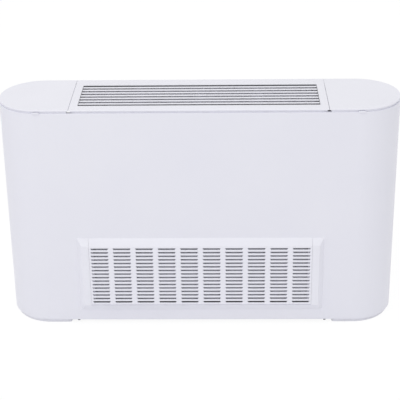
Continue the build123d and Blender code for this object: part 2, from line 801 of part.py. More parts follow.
def tube_bend(x, ahead, first, second):
    """Half-round bend between two tube ends at the face x, as eight-sided tube."""
    (y0, z0), (y1, z1) = first, second
    mid_yz = ((y0 + y1) / 2, (z0 + z1) / 2)
    half = ((y1 - y0) ** 2 + (z1 - z0) ** 2) ** 0.5 / 2
    run = x + ahead * bend_run
    path = [(x, y0, z0)]
    for angle in (0, 45, 90, 135, 180):
        share = cos(radians(angle))
        path.append((run + ahead * half * sin(radians(angle)),
                     mid_yz[0] + (y0 - mid_yz[0]) * share, mid_yz[1] + (z0 - mid_yz[1]) * share))
    path.append((x, y1, z1))
    section = Plane(origin=path[0], z_dir=(ahead, 0, 0)) * RegularPolygon(coil_tube_radius, 8)
    return sweep(section, Polyline(*path), transition=Transition.RIGHT)


def return_bends():
    """Copper bends that join the coil tubes in pairs outside the right-hand end plate."""
    return [tube_bend(plate_x, 1, tube_place(0, tube), tube_place(1, tube)) for tube in range(coil_tubes)]


def crossover_bends():
    """Copper bends on the left that carry each circuit on to its next pair of tubes."""
    return [tube_bend(-plate_x, -1, tube_place(1, tube), tube_place(0, tube + 1))
            for tube in range(0, coil_tubes, 2)]


def header_x():
    """Distance of both headers from the middle, clear of the crossover bends."""
    return -chassis_half - header_gap


def outlet_place(row):
    """Place in (y, z) where a header's outlet leaves: low on the front one, high on the rear one."""
    return coil_point((row - 0.5) * row_pitch, outlet_low if row == 0 else outlet_high)


def header(row):
    """Copper header with one stub to each circuit and an outlet towards the wall."""
    x = header_x()
    middle = coil_point((row - 0.5) * row_pitch, (2 * row - 1) * header_shift)
    pipe = Pos(x, *middle) * Rot(-coil_tilt, 0, 0) * Cylinder(header_radius, header_length)
    for tube in range(row, coil_tubes, 2):
        pipe += rod_x(x, -plate_x, *tube_place(row, tube), coil_tube_radius)
    y, z = outlet_place(row)
    return pipe + rod_y(y, socket_end_y - socket_length, x, z, outlet_radius)


def socket(row):
    """Brass hexagon socket soldered on a header's outlet, threaded inside for the pipe."""
    x, z = header_x(), outlet_place(row)[1]
    body = Pos(x, socket_end_y - socket_length, z) * Rot(-90, 0, 0) * extrude(
        RegularPolygon(socket_radius, 6), socket_length)
    return body - rod_y(socket_end_y - socket_depth, socket_end_y + 1, x, z, socket_bore)


def vent_place():
    """Centre of the upper end of the rear header, where the air vent is screwed in."""
    return header_x(), *coil_point(row_pitch / 2, header_shift + header_length / 2)


def air_vent():
    """Brass air vent on the header's upper end, with the seat of its bleed screw."""
    body = extrude(RegularPolygon(vent_radius, 6), vent_length)
    body -= rod_z(vent_length - vent_seat, vent_length + 1, 0, 0, bleed_radius + shaft_gap)
    return Pos(*vent_place()) * Rot(-coil_tilt, 0, 0) * body


def bleed_screw():
    """Slotted screw that opens the air vent."""
    under_head = vent_length + rest_gap
    top = under_head + bleed_head
    screw = rod_z(vent_length - vent_seat + rest_gap, under_head + 1, 0, 0, bleed_radius)
    screw += rod_z(under_head, top, 0, 0, bleed_radius + bleed_head_rim)
    screw -= Pos(0, 0, top) * Box(4 * bleed_radius, bleed_slot, 2 * bleed_slot)
    return Pos(*vent_place()) * Rot(-coil_tilt, 0, 0) * screw


def drain_pan():
    """Condensate pan under the coil's lower edge, with a spout through the left end plate."""
    x0, x1 = -plate_x + pan_side_gap, plate_x - pan_side_gap
    y0, y1 = chassis_y + pan_side_gap, pan_rear_y
    pan = slab(x0, x1, y0, y1, pan_z, pan_z + pan_height)
    pan -= slab(x0 + pan_wall, x1 - pan_wall, y0 + pan_wall, y1 - pan_wall,
                pan_z + pan_wall, pan_z + pan_height + 1)
    y, z = spout_place()
    end, half = -chassis_half - spout_reach, spout_half - pan_wall
    pan += slab(end, x0 + 1, y - spout_half, y + spout_half, z - spout_lift, z + spout_lift)
    pan -= slab(end - 1, x0 + 2 * pan_wall, y - half, y + half, z - spout_lift + pan_wall, z + spout_lift + 1)
    return pan


def spout_place():
    """Middle in (y, z) of the spout of the drain pan."""
    return (chassis_y + pan_rear_y) / 2, pan_z + spout_lift


def pan_lining():
    """Foam strip that seats the pan on the deck."""
    half = plate_x - pan_side_gap
    return slab(-half, half, chassis_y + pan_side_gap, pan_rear_y, deck_top, pan_z)


def drip_tray():
    """Moulded tray hooked on the left end plate below the valves, with its hose spigot at the back."""
    x0, x1 = -chassis_half - tray_width, -chassis_half
    y0, y1 = chassis_y + tray_front_gap, back_y - tray_rear_gap
    tray = slab(x0, x1, y0, y1, tray_z, tray_z + tray_height)
    tray = fillet(tray.edges().filter_by(Axis.Z).group_by(Axis.X)[0], tray_corner)
    inner = slab(x0 + tray_wall, x1 - tray_wall, y0 + tray_wall, y1 - tray_wall,
                 tray_z + tray_wall, tray_z + tray_height + 1)
    tray -= fillet(inner.edges().filter_by(Axis.Z).group_by(Axis.X)[0], tray_corner - tray_wall)
    x, z = spigot_place()
    tray += rod_y(y1 - 1, y1 + spigot_length, x, z, spigot_radius)
    return tray - rod_y(y1 - 2 * tray_wall, y1 + spigot_length + 1, x, z, spigot_radius - spigot_wall)


def spigot_place():
    """Place in (x, z) of the drain spigot on the tray's rear wall."""
    return -chassis_half - tray_width / 2, tray_z + spigot_lift


def control_box():
    """Sheet box on the right-hand end plate, open towards its cover."""
    x0, x1 = chassis_half, chassis_half + box_depth
    box = slab(x0, x1, box_front_y, box_rear_y, box_low_z, box_high_z)
    box -= slab(x0 + box_wall, x1 + 1, box_front_y + box_wall, box_rear_y - box_wall,
                box_low_z + box_wall, box_high_z - box_wall)
    box -= rod_y(box_rear_y - 5, box_rear_y + 5, *gland_place(), gland_bore + gland_wall + fit_gap)
    return box


def gland_place():
    """Place in (x, z) of the cable gland on the box's rear wall."""
    return chassis_half + box_depth / 2, box_low_z + gland_lift


def box_cover():
    """Lid of the control box, folded over its rim."""
    x1 = chassis_half + box_depth
    rim = box_cover_gap + box_wall
    y0, y1 = box_front_y - rim, box_rear_y + rim
    z0, z1 = box_low_z - rim, box_high_z + rim
    cover = slab(x1 - box_cover_lap, x1 + box_wall, y0, y1, z0, z1)
    return cover - slab(x1 - box_cover_lap - 1, x1, y0 + box_wall, y1 - box_wall,
                        z0 + box_wall, z1 - box_wall)


def cable_gland():
    """Plastic gland for the supply cable: nut, thread and dome."""
    x, z = gland_place()
    wall = box_rear_y
    inner_end = wall - box_wall - 5
    hexagon = RegularPolygon(gland_bore + gland_nut, 6)
    gland = rod_y(inner_end, wall + 5, x, z, gland_bore + gland_wall)
    gland += Pos(x, wall, z) * Rot(-90, 0, 0) * extrude(hexagon, 5)
    gland += rod_y(wall + 4, inner_end + gland_length, x, z, gland_bore + 1.5 * gland_wall)
    gland += Pos(x, wall - box_wall - 4, z) * Rot(-90, 0, 0) * extrude(hexagon, 4)
    return gland - rod_y(inner_end - 1, inner_end + gland_length + 1, x, z, gland_bore)


def terminal_block():
    """Row of clamp terminals on the floor of the control box."""
    x0 = chassis_half + box_wall
    low = box_high_z - terminal_drop
    half = terminal_count * terminal_pitch / 2
    block = slab(x0, x0 + terminal_depth, terminal_y - half, terminal_y + half, low, low + terminal_height)
    for step in steps(terminal_count):
        y = terminal_y + step * terminal_pitch
        block -= slab(x0 + 5, x0 + 11, y - 2.5, y + 2.5, low - 1, low + 8)
        block -= slab(x0 + 9, x0 + terminal_depth + 1, y - 2.2, y + 2.2, low + 13, low + 18)
    return block


def capacitor():
    """Motor run capacitor clipped to the floor of the box."""
    x0 = chassis_half + box_wall
    x = x0 + can_radius
    y = box_front_y + box_wall + can_radius + can_gap
    top = box_low_z + can_length
    can = rod_z(box_low_z + box_wall, top, x, y, can_radius)
    for tag_y in (y - tag_half, y + tag_half):
        can += slab(x - 3, x + 3, tag_y - 0.4, tag_y + 0.4, top - 1, top + tag_rise)
    return can


def casing_clip(z):
    """Z-shaped clip between the back of the front sheet and the right-hand chassis end."""
    step_x = chassis_half + flange + 1
    clip = slab(step_x, step_x + clip_reach, inner_front_y, inner_front_y + clip_sheet, z, z + clip_height)
    clip += slab(step_x, step_x + clip_sheet, inner_front_y, chassis_y, z, z + clip_height)
    clip += slab(chassis_half, step_x + clip_sheet, chassis_y - clip_sheet, chassis_y, z, z + clip_height)
    return clip


def clip_screw(z):
    """Hexagon-head screw that holds a clip on the flange of the chassis end."""
    x = chassis_half + flange / 2
    head = Pos(x, chassis_y - clip_sheet, z + clip_height / 2) * Rot(90, 0, 0)
    return head * extrude(RegularPolygon(screw_radius, 6), screw_head)


def both(part):
    """A piece and its twin on the other side."""
    return [part, other_side(part)]


grille_parts = {
    "intake_grille": grille(),
    "filter_frame": filter_frame(),
    "filter_mesh": filter_mesh(),
    "intake_frame": intake_frame(),
}
casing_parts = {
    "front_casing": casing(),
    "top_cover": top_cover(),
    "outlet_louvre": louvre(),
    "rear_plate": rear_plate(),
    "fan_deck": deck(),
    "front_rail_upper": front_rail(rim_z - upper_rail_drop),
    "front_rail_lower": front_rail(chassis_foot_z + 2),
    "base_rail_front": rail(mid_y - rail_offset),
    "base_rail_rear": rail(mid_y + rail_offset),
}
for node, shape in {**grille_parts, **casing_parts}.items():
    save(node, shape)

for node, shape in {
    "lid": lid(),
    "lid_pin": lid_pin(),
    "lid_bracket": hinge_bracket(),
    "foot": foot(),
    "fan_scroll": scroll(),
    "fan_wheel": wheel(),
}.items():
    save(f"right_{node}", shape)
    save(f"left_{node}", other_side(shape))

spout_y, spout_z = spout_place()
spout_hole = slab(-chassis_half - 12, -plate_x + 1, spout_y - spout_half - 0.5, spout_y + spout_half + 0.5,
                  spout_z - spout_lift - 0.5, spout_z + spout_lift + 3)
save("right_end_plate", end_plate())
save("left_end_plate", other_side(end_plate()) - spout_hole)
fins_x = plate_x - coil_plate
fin_depth, fin_height = coil_thickness - 2 * coil_margin, coil_height - 2 * coil_margin
save("coil_fins", coil_block(-fins_x, fins_x, fin_depth, fin_height))
save("right_coil_plate", coil_end(fins_x, plate_x))
save("left_coil_plate", coil_end(-plate_x, -fins_x))
save("return_bends", return_bends())
save("crossover_bends", crossover_bends())
save("supply_header", header(0))
save("return_header", header(1))
save("supply_socket", socket(0))
save("return_socket", socket(1))
save("air_vent", air_vent())
save("bleed_screw", bleed_screw())
save("drain_pan", drain_pan())
save("pan_lining", pan_lining())
save("drip_tray", drip_tray())
save("fan_motor", motor())
bearing_inner_x = boss_half - bearing_width + bearing_inset
save("motor_bearings", both(ring_x(bearing_inner_x, boss_half, shaft_radius + shaft_gap, bearing_radius)))
save("motor_rings", both(ring_x(ring_mid - mount_ring_width / 2, ring_mid + mount_ring_width / 2,
                                boss_radius + fit_gap, mount_ring_radius - fit_gap)))
save("motor_cradles", both(cradle()))
shaft_half = fan_mid_x + shaft_overhang
save("motor_shaft", rod_x(-shaft_half, shaft_half, fan_y, fan_z, shaft_radius))
save("control_box", control_box())
save("control_box_cover", box_cover())
save("cable_gland", cable_gland())
save("terminal_block", terminal_block())
save("run_capacitor", capacitor())
clip_levels = (clip_low_z, rim_z - clip_drop)
save("casing_clips", [piece for z in clip_levels for piece in both(casing_clip(z))])
save("clip_screws", [piece for z in clip_levels for piece in both(clip_screw(z))])
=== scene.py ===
# %% [markdown]
# # A floor-standing air conditioner indoor unit
# The real thing is a fan coil unit: a white painted casing about one metre long, with a slotted intake low
# on its front, a louvred outlet along its top and a hinged lid over each rounded end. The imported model
# already holds every piece at its real size. This script gives each of them its finish and models the
# pieces whose curves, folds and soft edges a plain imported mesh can't show.

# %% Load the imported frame
import bpy
import bmesh
import json
import math
from mathutils import Matrix, Vector


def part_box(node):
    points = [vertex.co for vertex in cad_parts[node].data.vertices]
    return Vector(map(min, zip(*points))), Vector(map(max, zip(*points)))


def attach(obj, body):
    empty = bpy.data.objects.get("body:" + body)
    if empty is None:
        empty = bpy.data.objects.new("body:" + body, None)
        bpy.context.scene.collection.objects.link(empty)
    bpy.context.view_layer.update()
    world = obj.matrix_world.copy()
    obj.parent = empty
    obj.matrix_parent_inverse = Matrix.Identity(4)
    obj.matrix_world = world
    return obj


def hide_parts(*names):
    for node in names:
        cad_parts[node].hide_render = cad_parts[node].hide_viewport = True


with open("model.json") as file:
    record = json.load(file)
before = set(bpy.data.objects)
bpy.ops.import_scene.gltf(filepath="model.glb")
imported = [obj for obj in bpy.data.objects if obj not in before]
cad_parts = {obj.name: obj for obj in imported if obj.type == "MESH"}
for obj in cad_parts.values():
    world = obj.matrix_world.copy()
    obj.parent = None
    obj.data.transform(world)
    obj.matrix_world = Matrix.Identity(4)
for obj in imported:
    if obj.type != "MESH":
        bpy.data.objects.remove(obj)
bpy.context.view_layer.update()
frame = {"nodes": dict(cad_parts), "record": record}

# %% [markdown]
# ## Units
# The sheet metal shop and the moulding shop both think in millimetres, and Blender thinks in metres. Each
# piece is modelled in millimetres and is scaled once, when it becomes an object. The places of the pieces
# are read from the frame, so a piece lands where the real one is screwed on.

# %% Millimetres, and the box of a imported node
MM = 0.001


def node_box(node):
    """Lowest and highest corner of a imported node, in millimetres."""
    low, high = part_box(node)
    return low / MM, high / MM


casing_low, casing_high = node_box("front_casing")
cover_low, cover_high = node_box("top_cover")
print("casing box in mm:", [round(c, 1) for c in (*casing_low, *casing_high)])

# %% [markdown]
# ## Camera
# The picture was taken from a little above the unit with a long lens, so the end caps lean in slightly
# towards the floor. A camera could be moved by eye until the outline fits. Here its place and its three
# angles were fitted to the seams and the slots instead, because then every piece lands on its own pixel.

# %% Camera
CAMERA_PLACE = Vector((70.72, -2902.9, 1657.26)) * MM
CAMERA_PITCH = math.radians(24.944)
CAMERA_YAW = math.radians(-1.4314)
CAMERA_ROLL = math.radians(-0.8234)
SENSOR_WIDTH = 36.0
LENS = 111.24

ahead = Vector((math.sin(CAMERA_YAW) * math.cos(CAMERA_PITCH),
                math.cos(CAMERA_YAW) * math.cos(CAMERA_PITCH),
                -math.sin(CAMERA_PITCH)))
level = Vector((math.cos(CAMERA_YAW), -math.sin(CAMERA_YAW), 0))
above = level.cross(ahead)
right = level * math.cos(CAMERA_ROLL) + above * math.sin(CAMERA_ROLL)
up = above * math.cos(CAMERA_ROLL) - level * math.sin(CAMERA_ROLL)

camera = bpy.data.objects.new("camera", bpy.data.cameras.new("camera"))
bpy.context.scene.collection.objects.link(camera)
camera.matrix_world = Matrix.Translation(CAMERA_PLACE) @ Matrix((right, up, -ahead)).transposed().to_4x4()
camera.data.sensor_width = SENSOR_WIDTH
camera.data.lens = LENS
camera.data.clip_end = 50
bpy.context.scene.camera = camera
print("camera height in metres:", round(camera.location.z, 3))

# %% [markdown]
# ## Node and colour helpers
# A finish is a small network of nodes. One function adds a node, sets what stays the same and links what
# changes over the surface. Colours are written as the sRGB hex codes that a paint chart gives, and one
# function turns them to the linear values that the renderer works in.

# %% Node and colour helpers
def linear(code):
    """An sRGB hex code as linear red, green, blue and alpha."""
    parts = [int(code[i:i + 2], 16) / 255 for i in (1, 3, 5)]
    return [c / 12.92 if c <= 0.04045 else ((c + 0.055) / 1.055) ** 2.4 for c in parts] + [1.0]


def add(tree, kind, inputs=None, **settings):
    """Add one node with its settings, and set or link its inputs."""
    node = tree.nodes.new(kind)
    for key, value in settings.items():
        setattr(node, key, value)
    for socket, value in (inputs or {}).items():
        if isinstance(value, bpy.types.NodeSocket):
            tree.links.new(value, node.inputs[socket])
        else:
            node.inputs[socket].default_value = value
    return node


def surface(name, colour, roughness, metallic=0.0, **sockets):
    """A material with one Principled shader, and the Object coordinates its patterns will read."""
    made = bpy.data.materials.new(name)
    made.use_nodes = True
    tree = made.node_tree
    tree.nodes.clear()
    values = {"Base Color": linear(colour), "Roughness": roughness, "Metallic": metallic}
    values.update({key.replace("_", " "): value for key, value in sockets.items()})
    shader = add(tree, "ShaderNodeBsdfPrincipled", values)
    add(tree, "ShaderNodeOutputMaterial", {"Surface": shader.outputs["BSDF"]})
    place = add(tree, "ShaderNodeTexCoord").outputs["Object"]
    return made, tree, shader, place


def noise(tree, place, grain_mm, detail=2.0):
    """Random mottle whose lumps are about grain_mm across."""
    inputs = {"Vector": place, "Scale": 1 / (grain_mm * MM), "Detail": detail}
    return add(tree, "ShaderNodeTexNoise", inputs).outputs["Fac"]


def vary(tree, shader, pattern, socket, low, high):
    """Drive a number of the shader by a pattern, between two values."""
    ramp = add(tree, "ShaderNodeMapRange", {"Value": pattern, "From Min": 0.3, "From Max": 0.7,
                                            "To Min": low, "To Max": high})
    tree.links.new(ramp.outputs["Result"], shader.inputs[socket])


def tint(tree, shader, pattern, first, second):
    """Drive the shader's colour by a pattern, between two hex colours."""
    ramp = add(tree, "ShaderNodeMapRange", {"Value": pattern, "From Min": 0.3, "From Max": 0.7})
    mix = add(tree, "ShaderNodeMix", data_type="RGBA")
    tree.links.new(ramp.outputs["Result"], mix.inputs[0])
    mix.inputs[6].default_value = linear(first)
    mix.inputs[7].default_value = linear(second)
    tree.links.new(mix.outputs[2], shader.inputs["Base Color"])


def relief(tree, shader, pattern, height_mm, strength=1.0):
    """Raise and lower the surface by a pattern, by a real height."""
    bump = add(tree, "ShaderNodeBump", {"Height": pattern, "Distance": height_mm * MM, "Strength": strength})
    tree.links.new(bump.outputs["Normal"], shader.inputs["Normal"])


print("linear value of paint white:", [round(c, 3) for c in linear("#EDEDF5")])

# %% [markdown]
# ## Floor and light
# The unit stands in a white studio sweep, with soft light from all round and a little more from above. An
# emitting white wall would light the object too much, so the white is seen only by the camera and by
# reflections. The floor is mostly that white and keeps a share of real shading, which holds the shadow.
# Right below the unit the floor has only its real shading, as no light reaches it there.

# %% Floor and light
FLOOR_SIZE = 14.0
FLOOR_WHITE = 0.9
ROOM_LIGHT = 0.80
KEY_POWER = 30.0
KEY_PLACE = Vector((-0.9, -2.2, 3.4))
KEY_SIZE = 3.0
HIDDEN_HALF = Vector((0.40, 0.085))
HIDDEN_MIDDLE_Y = 0.02


def under_unit(tree, place):
    """One on the floor below the unit, where the studio's white doesn't reach, and nothing elsewhere."""
    spot = add(tree, "ShaderNodeSeparateXYZ", {"Vector": place}).outputs
    aside = add(tree, "ShaderNodeMath", {0: spot["X"]}, operation="ABSOLUTE")
    within_x = add(tree, "ShaderNodeMath", {0: aside.outputs[0], 1: HIDDEN_HALF.x}, operation="LESS_THAN")
    back = add(tree, "ShaderNodeMath", {0: spot["Y"], 1: HIDDEN_MIDDLE_Y}, operation="SUBTRACT")
    back = add(tree, "ShaderNodeMath", {0: back.outputs[0]}, operation="ABSOLUTE")
    within_y = add(tree, "ShaderNodeMath", {0: back.outputs[0], 1: HIDDEN_HALF.y}, operation="LESS_THAN")
    return add(tree, "ShaderNodeMath", {0: within_x.outputs[0], 1: within_y.outputs[0]},
               operation="MULTIPLY").outputs[0]


def studio_white(tree, plain, place):
    """White to the camera and in reflections, and the plain shader to every other ray."""
    rays = add(tree, "ShaderNodeLightPath").outputs
    seen = add(tree, "ShaderNodeMath", {0: rays["Is Camera Ray"], 1: rays["Is Glossy Ray"]}, operation="MAXIMUM")
    seen = add(tree, "ShaderNodeMath", {0: seen.outputs[0], 1: rays["Is Transmission Ray"]}, operation="MAXIMUM")
    share = add(tree, "ShaderNodeMath", {0: seen.outputs[0], 1: FLOOR_WHITE}, operation="MULTIPLY")
    open_floor = add(tree, "ShaderNodeMath", {0: 1.0, 1: under_unit(tree, place)}, operation="SUBTRACT")
    share = add(tree, "ShaderNodeMath", {0: share.outputs[0], 1: open_floor.outputs[0]}, operation="MULTIPLY")
    white = add(tree, "ShaderNodeEmission", {"Color": linear("#FFFFFF"), "Strength": 1.03})
    return add(tree, "ShaderNodeMixShader", {0: share.outputs[0], 1: plain, 2: white.outputs[0]}).outputs[0]


floor_paint, floor_tree, floor_shader, floor_coordinates = surface("studio_floor", "#F6F6F8", 0.9)
floor_shader.inputs["Specular IOR Level"].default_value = 0.0
floor_output = floor_tree.nodes["Material Output"]
floor_surface = studio_white(floor_tree, floor_shader.outputs[0], floor_coordinates)
floor_tree.links.new(floor_surface, floor_output.inputs["Surface"])

floor_mesh = bmesh.new()
bmesh.ops.create_grid(floor_mesh, x_segments=1, y_segments=1, size=FLOOR_SIZE)
floor_data = bpy.data.meshes.new("studio_floor")
floor_mesh.to_mesh(floor_data)
floor_mesh.free()
floor_data.materials.append(floor_paint)
floor = bpy.data.objects.new("studio_floor", floor_data)
bpy.context.scene.collection.objects.link(floor)

world = bpy.data.worlds.new("studio_room")
world.use_nodes = True
room = world.node_tree
room.nodes.clear()
rays = add(room, "ShaderNodeLightPath").outputs
seen = add(room, "ShaderNodeMath", {0: rays["Is Camera Ray"], 1: rays["Is Glossy Ray"]}, operation="MAXIMUM")
seen = add(room, "ShaderNodeMath", {0: seen.outputs[0], 1: rays["Is Transmission Ray"]}, operation="MAXIMUM")
level_of_light = add(room, "ShaderNodeMix", {0: seen.outputs[0], 2: ROOM_LIGHT, 3: 1.0})
background = add(room, "ShaderNodeBackground", {"Color": linear("#FFFFFF"),
                                                "Strength": level_of_light.outputs[0]})
add(room, "ShaderNodeOutputWorld", {"Surface": background.outputs[0]})
bpy.context.scene.world = world

key_data = bpy.data.lights.new("soft_key", "AREA")
key_data.energy = KEY_POWER
key_data.size = KEY_SIZE
key = bpy.data.objects.new("soft_key", key_data)
bpy.context.scene.collection.objects.link(key)
key.location = KEY_PLACE
key.rotation_euler = (Vector((0, 0, 0.3)) - KEY_PLACE).to_track_quat("-Z", "Y").to_euler()
bpy.context.scene.view_settings.view_transform = "Standard"
print("key light", round(KEY_PLACE.length, 2), "m away")

# %% [markdown]
# ## White finishes
# The casing is folded steel with a polyester powder coat, baked at about 180 degrees. The powder flows
# before it sets, which leaves a faint orange peel one to two millimetres across and a few microns high.
# It could be left out at this distance, but the end caps would then look like plastic sheet. The moulded
# covers, the grille and the feet are ABS: a spark-eroded mould gives them a finer, flatter grain.

# %% Powder coat and moulded ABS
powder_coat, tree, shader, place = surface("polyester_powder_coat_baked", "#EBEBF4", 0.42, IOR=1.5)
orange_peel = noise(tree, place, 1.6)
vary(tree, shader, noise(tree, place, 60.0), "Roughness", 0.39, 0.46)
tint(tree, shader, noise(tree, place, 180.0, 4.0), "#EAEAF3", "#ECECF4")
relief(tree, shader, orange_peel, 0.012)

moulded_abs, tree, shader, place = surface("white_ABS_spark_eroded_mould", "#EEEEF6", 0.48, IOR=1.53)
vary(tree, shader, noise(tree, place, 40.0), "Roughness", 0.45, 0.52)
tint(tree, shader, noise(tree, place, 120.0, 3.0), "#EDEDF5", "#EFEFF7")
relief(tree, shader, noise(tree, place, 0.5), 0.006)

foot_abs, tree, shader, place = surface("grey_white_ABS_moulded_foot", "#E9E9F0", 0.55, IOR=1.53)
vary(tree, shader, noise(tree, place, 30.0), "Roughness", 0.5, 0.62)
tint(tree, shader, noise(tree, place, 70.0, 3.0), "#E6E6EE", "#EBEBF2")
relief(tree, shader, noise(tree, place, 0.6), 0.01)
print("white finishes:", powder_coat.name, moulded_abs.name, foot_abs.name)

# %% [markdown]
# ## Zinc-coated steel
# The chassis is hot-dip galvanised sheet. The zinc freezes in flat crystals one to two centimetres wide,
# the spangle, and each crystal reflects at its own angle. A cell pattern with one random value per cell
# gives that patchwork. Screws, pins and the shaft are turned or cold-headed and zinc plated, so they have
# no spangle, only fine lines from the tool.

# %% Galvanised sheet and zinc plate
SPANGLE_MM = 11.0
galvanised, tree, shader, place = surface("hot_dip_galvanised_sheet", "#B9BDC1", 0.42, 0.85)
bent = add(tree, "ShaderNodeTexNoise", {"Vector": place, "Scale": 1 / (8.0 * MM)})
shift = add(tree, "ShaderNodeVectorMath", {0: bent.outputs["Color"]}, operation="SCALE")
shift.inputs["Scale"].default_value = 3.0 * MM
moved = add(tree, "ShaderNodeVectorMath", {0: place, 1: shift.outputs["Vector"]}, operation="ADD")
cells = add(tree, "ShaderNodeTexVoronoi", {"Vector": moved.outputs["Vector"], "Scale": 1 / (SPANGLE_MM * MM)})
grain = add(tree, "ShaderNodeSeparateColor", {"Color": cells.outputs["Color"]})
tint(tree, shader, grain.outputs["Red"], "#A3A8AE", "#C9CCCF")
vary(tree, shader, grain.outputs["Green"], "Roughness", 0.3, 0.52)
relief(tree, shader, grain.outputs["Blue"], 0.02, 0.4)

zinc_plate, tree, shader, place = surface("bright_zinc_plated_steel", "#C8C9CB", 0.28, 1.0)
vary(tree, shader, noise(tree, place, 1.2, 3.0), "Roughness", 0.22, 0.38)
tint(tree, shader, noise(tree, place, 6.0), "#BEBFC2", "#D2D3D4")
relief(tree, shader, noise(tree, place, 0.4), 0.008)
print("spangle in mm:", SPANGLE_MM)

# %% [markdown]
# ## Copper, brass and aluminium of the coil
# The tubes are drawn copper, bright where they were bent and browner where the brazing flame passed. The
# sockets and the vent are turned brass. The fins are rolled aluminium foil with a thin water-shedding
# coat, which keeps them a little blue and dull.

# %% Coil metals
copper, tree, shader, place = surface("drawn_copper_tube", "#C68A6B", 0.3, 1.0)
tint(tree, shader, noise(tree, place, 22.0, 4.0), "#A9694A", "#D39A7B")
vary(tree, shader, noise(tree, place, 5.0, 3.0), "Roughness", 0.2, 0.42)
relief(tree, shader, noise(tree, place, 1.5), 0.01)

brass, tree, shader, place = surface("turned_brass", "#C9A86A", 0.26, 1.0)
tint(tree, shader, noise(tree, place, 9.0, 3.0), "#B8934F", "#D6B97C")
vary(tree, shader, noise(tree, place, 0.9), "Roughness", 0.2, 0.36)
relief(tree, shader, noise(tree, place, 0.7), 0.008)

fin_foil, tree, shader, place = surface("rolled_aluminium_fin_stock", "#C3C9CF", 0.34, 0.95)
tint(tree, shader, noise(tree, place, 14.0, 3.0), "#B4BBC3", "#CDD2D7")
vary(tree, shader, noise(tree, place, 3.0), "Roughness", 0.28, 0.44)
relief(tree, shader, noise(tree, place, 1.0), 0.01)

drawn_can, tree, shader, place = surface("drawn_aluminium_can", "#CBCDD0", 0.3, 1.0)
vary(tree, shader, noise(tree, place, 2.0), "Roughness", 0.24, 0.4)
tint(tree, shader, noise(tree, place, 10.0), "#C2C4C8", "#D3D5D7")
relief(tree, shader, noise(tree, place, 0.5), 0.006)
print("coil metals:", copper.name, brass.name, fin_foil.name)

# %% [markdown]
# ## Black and grey working parts
# The wheels are glass-filled polypropylene, the motor wears a stoved grey enamel, its rings are nitrile
# rubber, the pan sits on cross-linked foam, and the filter is a knitted nylon net in a grey frame. Each
# is dull, and each differs in grain: fibres in the wheel, pores in the foam, threads in the net.

# %% Plastics, rubber and foam
wheel_plastic, tree, shader, place = surface("glass_filled_polypropylene", "#1E1F21", 0.5)
tint(tree, shader, noise(tree, place, 2.0, 4.0), "#191A1C", "#27282B")
vary(tree, shader, noise(tree, place, 1.0), "Roughness", 0.42, 0.6)
relief(tree, shader, noise(tree, place, 0.8), 0.012)

motor_enamel, tree, shader, place = surface("stoved_grey_motor_enamel", "#43474B", 0.4)
tint(tree, shader, noise(tree, place, 12.0, 3.0), "#3C4044", "#4A4E52")
vary(tree, shader, noise(tree, place, 4.0), "Roughness", 0.34, 0.5)
relief(tree, shader, noise(tree, place, 1.1), 0.03)

nitrile, tree, shader, place = surface("nitrile_rubber_ring", "#131314", 0.7)
tint(tree, shader, noise(tree, place, 3.0), "#101011", "#1B1B1C")
vary(tree, shader, noise(tree, place, 2.0), "Roughness", 0.62, 0.8)
relief(tree, shader, noise(tree, place, 0.5), 0.02)

foam, tree, shader, place = surface("cross_linked_polyethylene_foam", "#26262A", 0.85)
pores = add(tree, "ShaderNodeTexVoronoi", {"Vector": place, "Scale": 1 / (1.4 * MM)})
tint(tree, shader, pores.outputs["Distance"], "#1B1B1E", "#323237")
vary(tree, shader, pores.outputs["Distance"], "Roughness", 0.78, 0.92)
relief(tree, shader, pores.outputs["Distance"], 0.25)

black_pp, tree, shader, place = surface("black_polypropylene_moulded", "#232427", 0.5)
tint(tree, shader, noise(tree, place, 10.0, 3.0), "#1F2023", "#292A2D")
vary(tree, shader, noise(tree, place, 3.0), "Roughness", 0.44, 0.58)
relief(tree, shader, noise(tree, place, 0.7), 0.015)

nylon_66, tree, shader, place = surface("grey_nylon_66_moulded", "#3B3C40", 0.46)
tint(tree, shader, noise(tree, place, 6.0, 3.0), "#35363A", "#434448")
vary(tree, shader, noise(tree, place, 2.0), "Roughness", 0.4, 0.54)
relief(tree, shader, noise(tree, place, 0.5), 0.01)

frame_pp, tree, shader, place = surface("grey_polypropylene_filter_frame", "#ABACB4", 0.52)
tint(tree, shader, noise(tree, place, 14.0, 3.0), "#A8A9B1", "#AFB0B8")
vary(tree, shader, noise(tree, place, 3.0), "Roughness", 0.46, 0.6)
relief(tree, shader, noise(tree, place, 0.6), 0.01)

# Painted shade: this dark grey stands for the shadow on the louvre rim's walls, not for the colour of the ABS.
louvre_rim_painted_shade, tree, shader, place = surface("louvre_rim_painted_shade_grey", "#56575C", 0.55)
tint(tree, shader, noise(tree, place, 20.0, 3.0), "#525358", "#5A5B60")
vary(tree, shader, noise(tree, place, 4.0), "Roughness", 0.5, 0.62)
relief(tree, shader, noise(tree, place, 0.6), 0.01)
print("dark finishes:", wheel_plastic.name, motor_enamel.name, nitrile.name)

# %% [markdown]
# ## Filter net
# The net has about one thread to the millimetre. At this distance a real thread is a tenth of a pixel, so
# the weave is drawn at twice that spacing. Two wave patterns at right angles cross as warp and weft, and
# where both are low the net shows its dark holes.

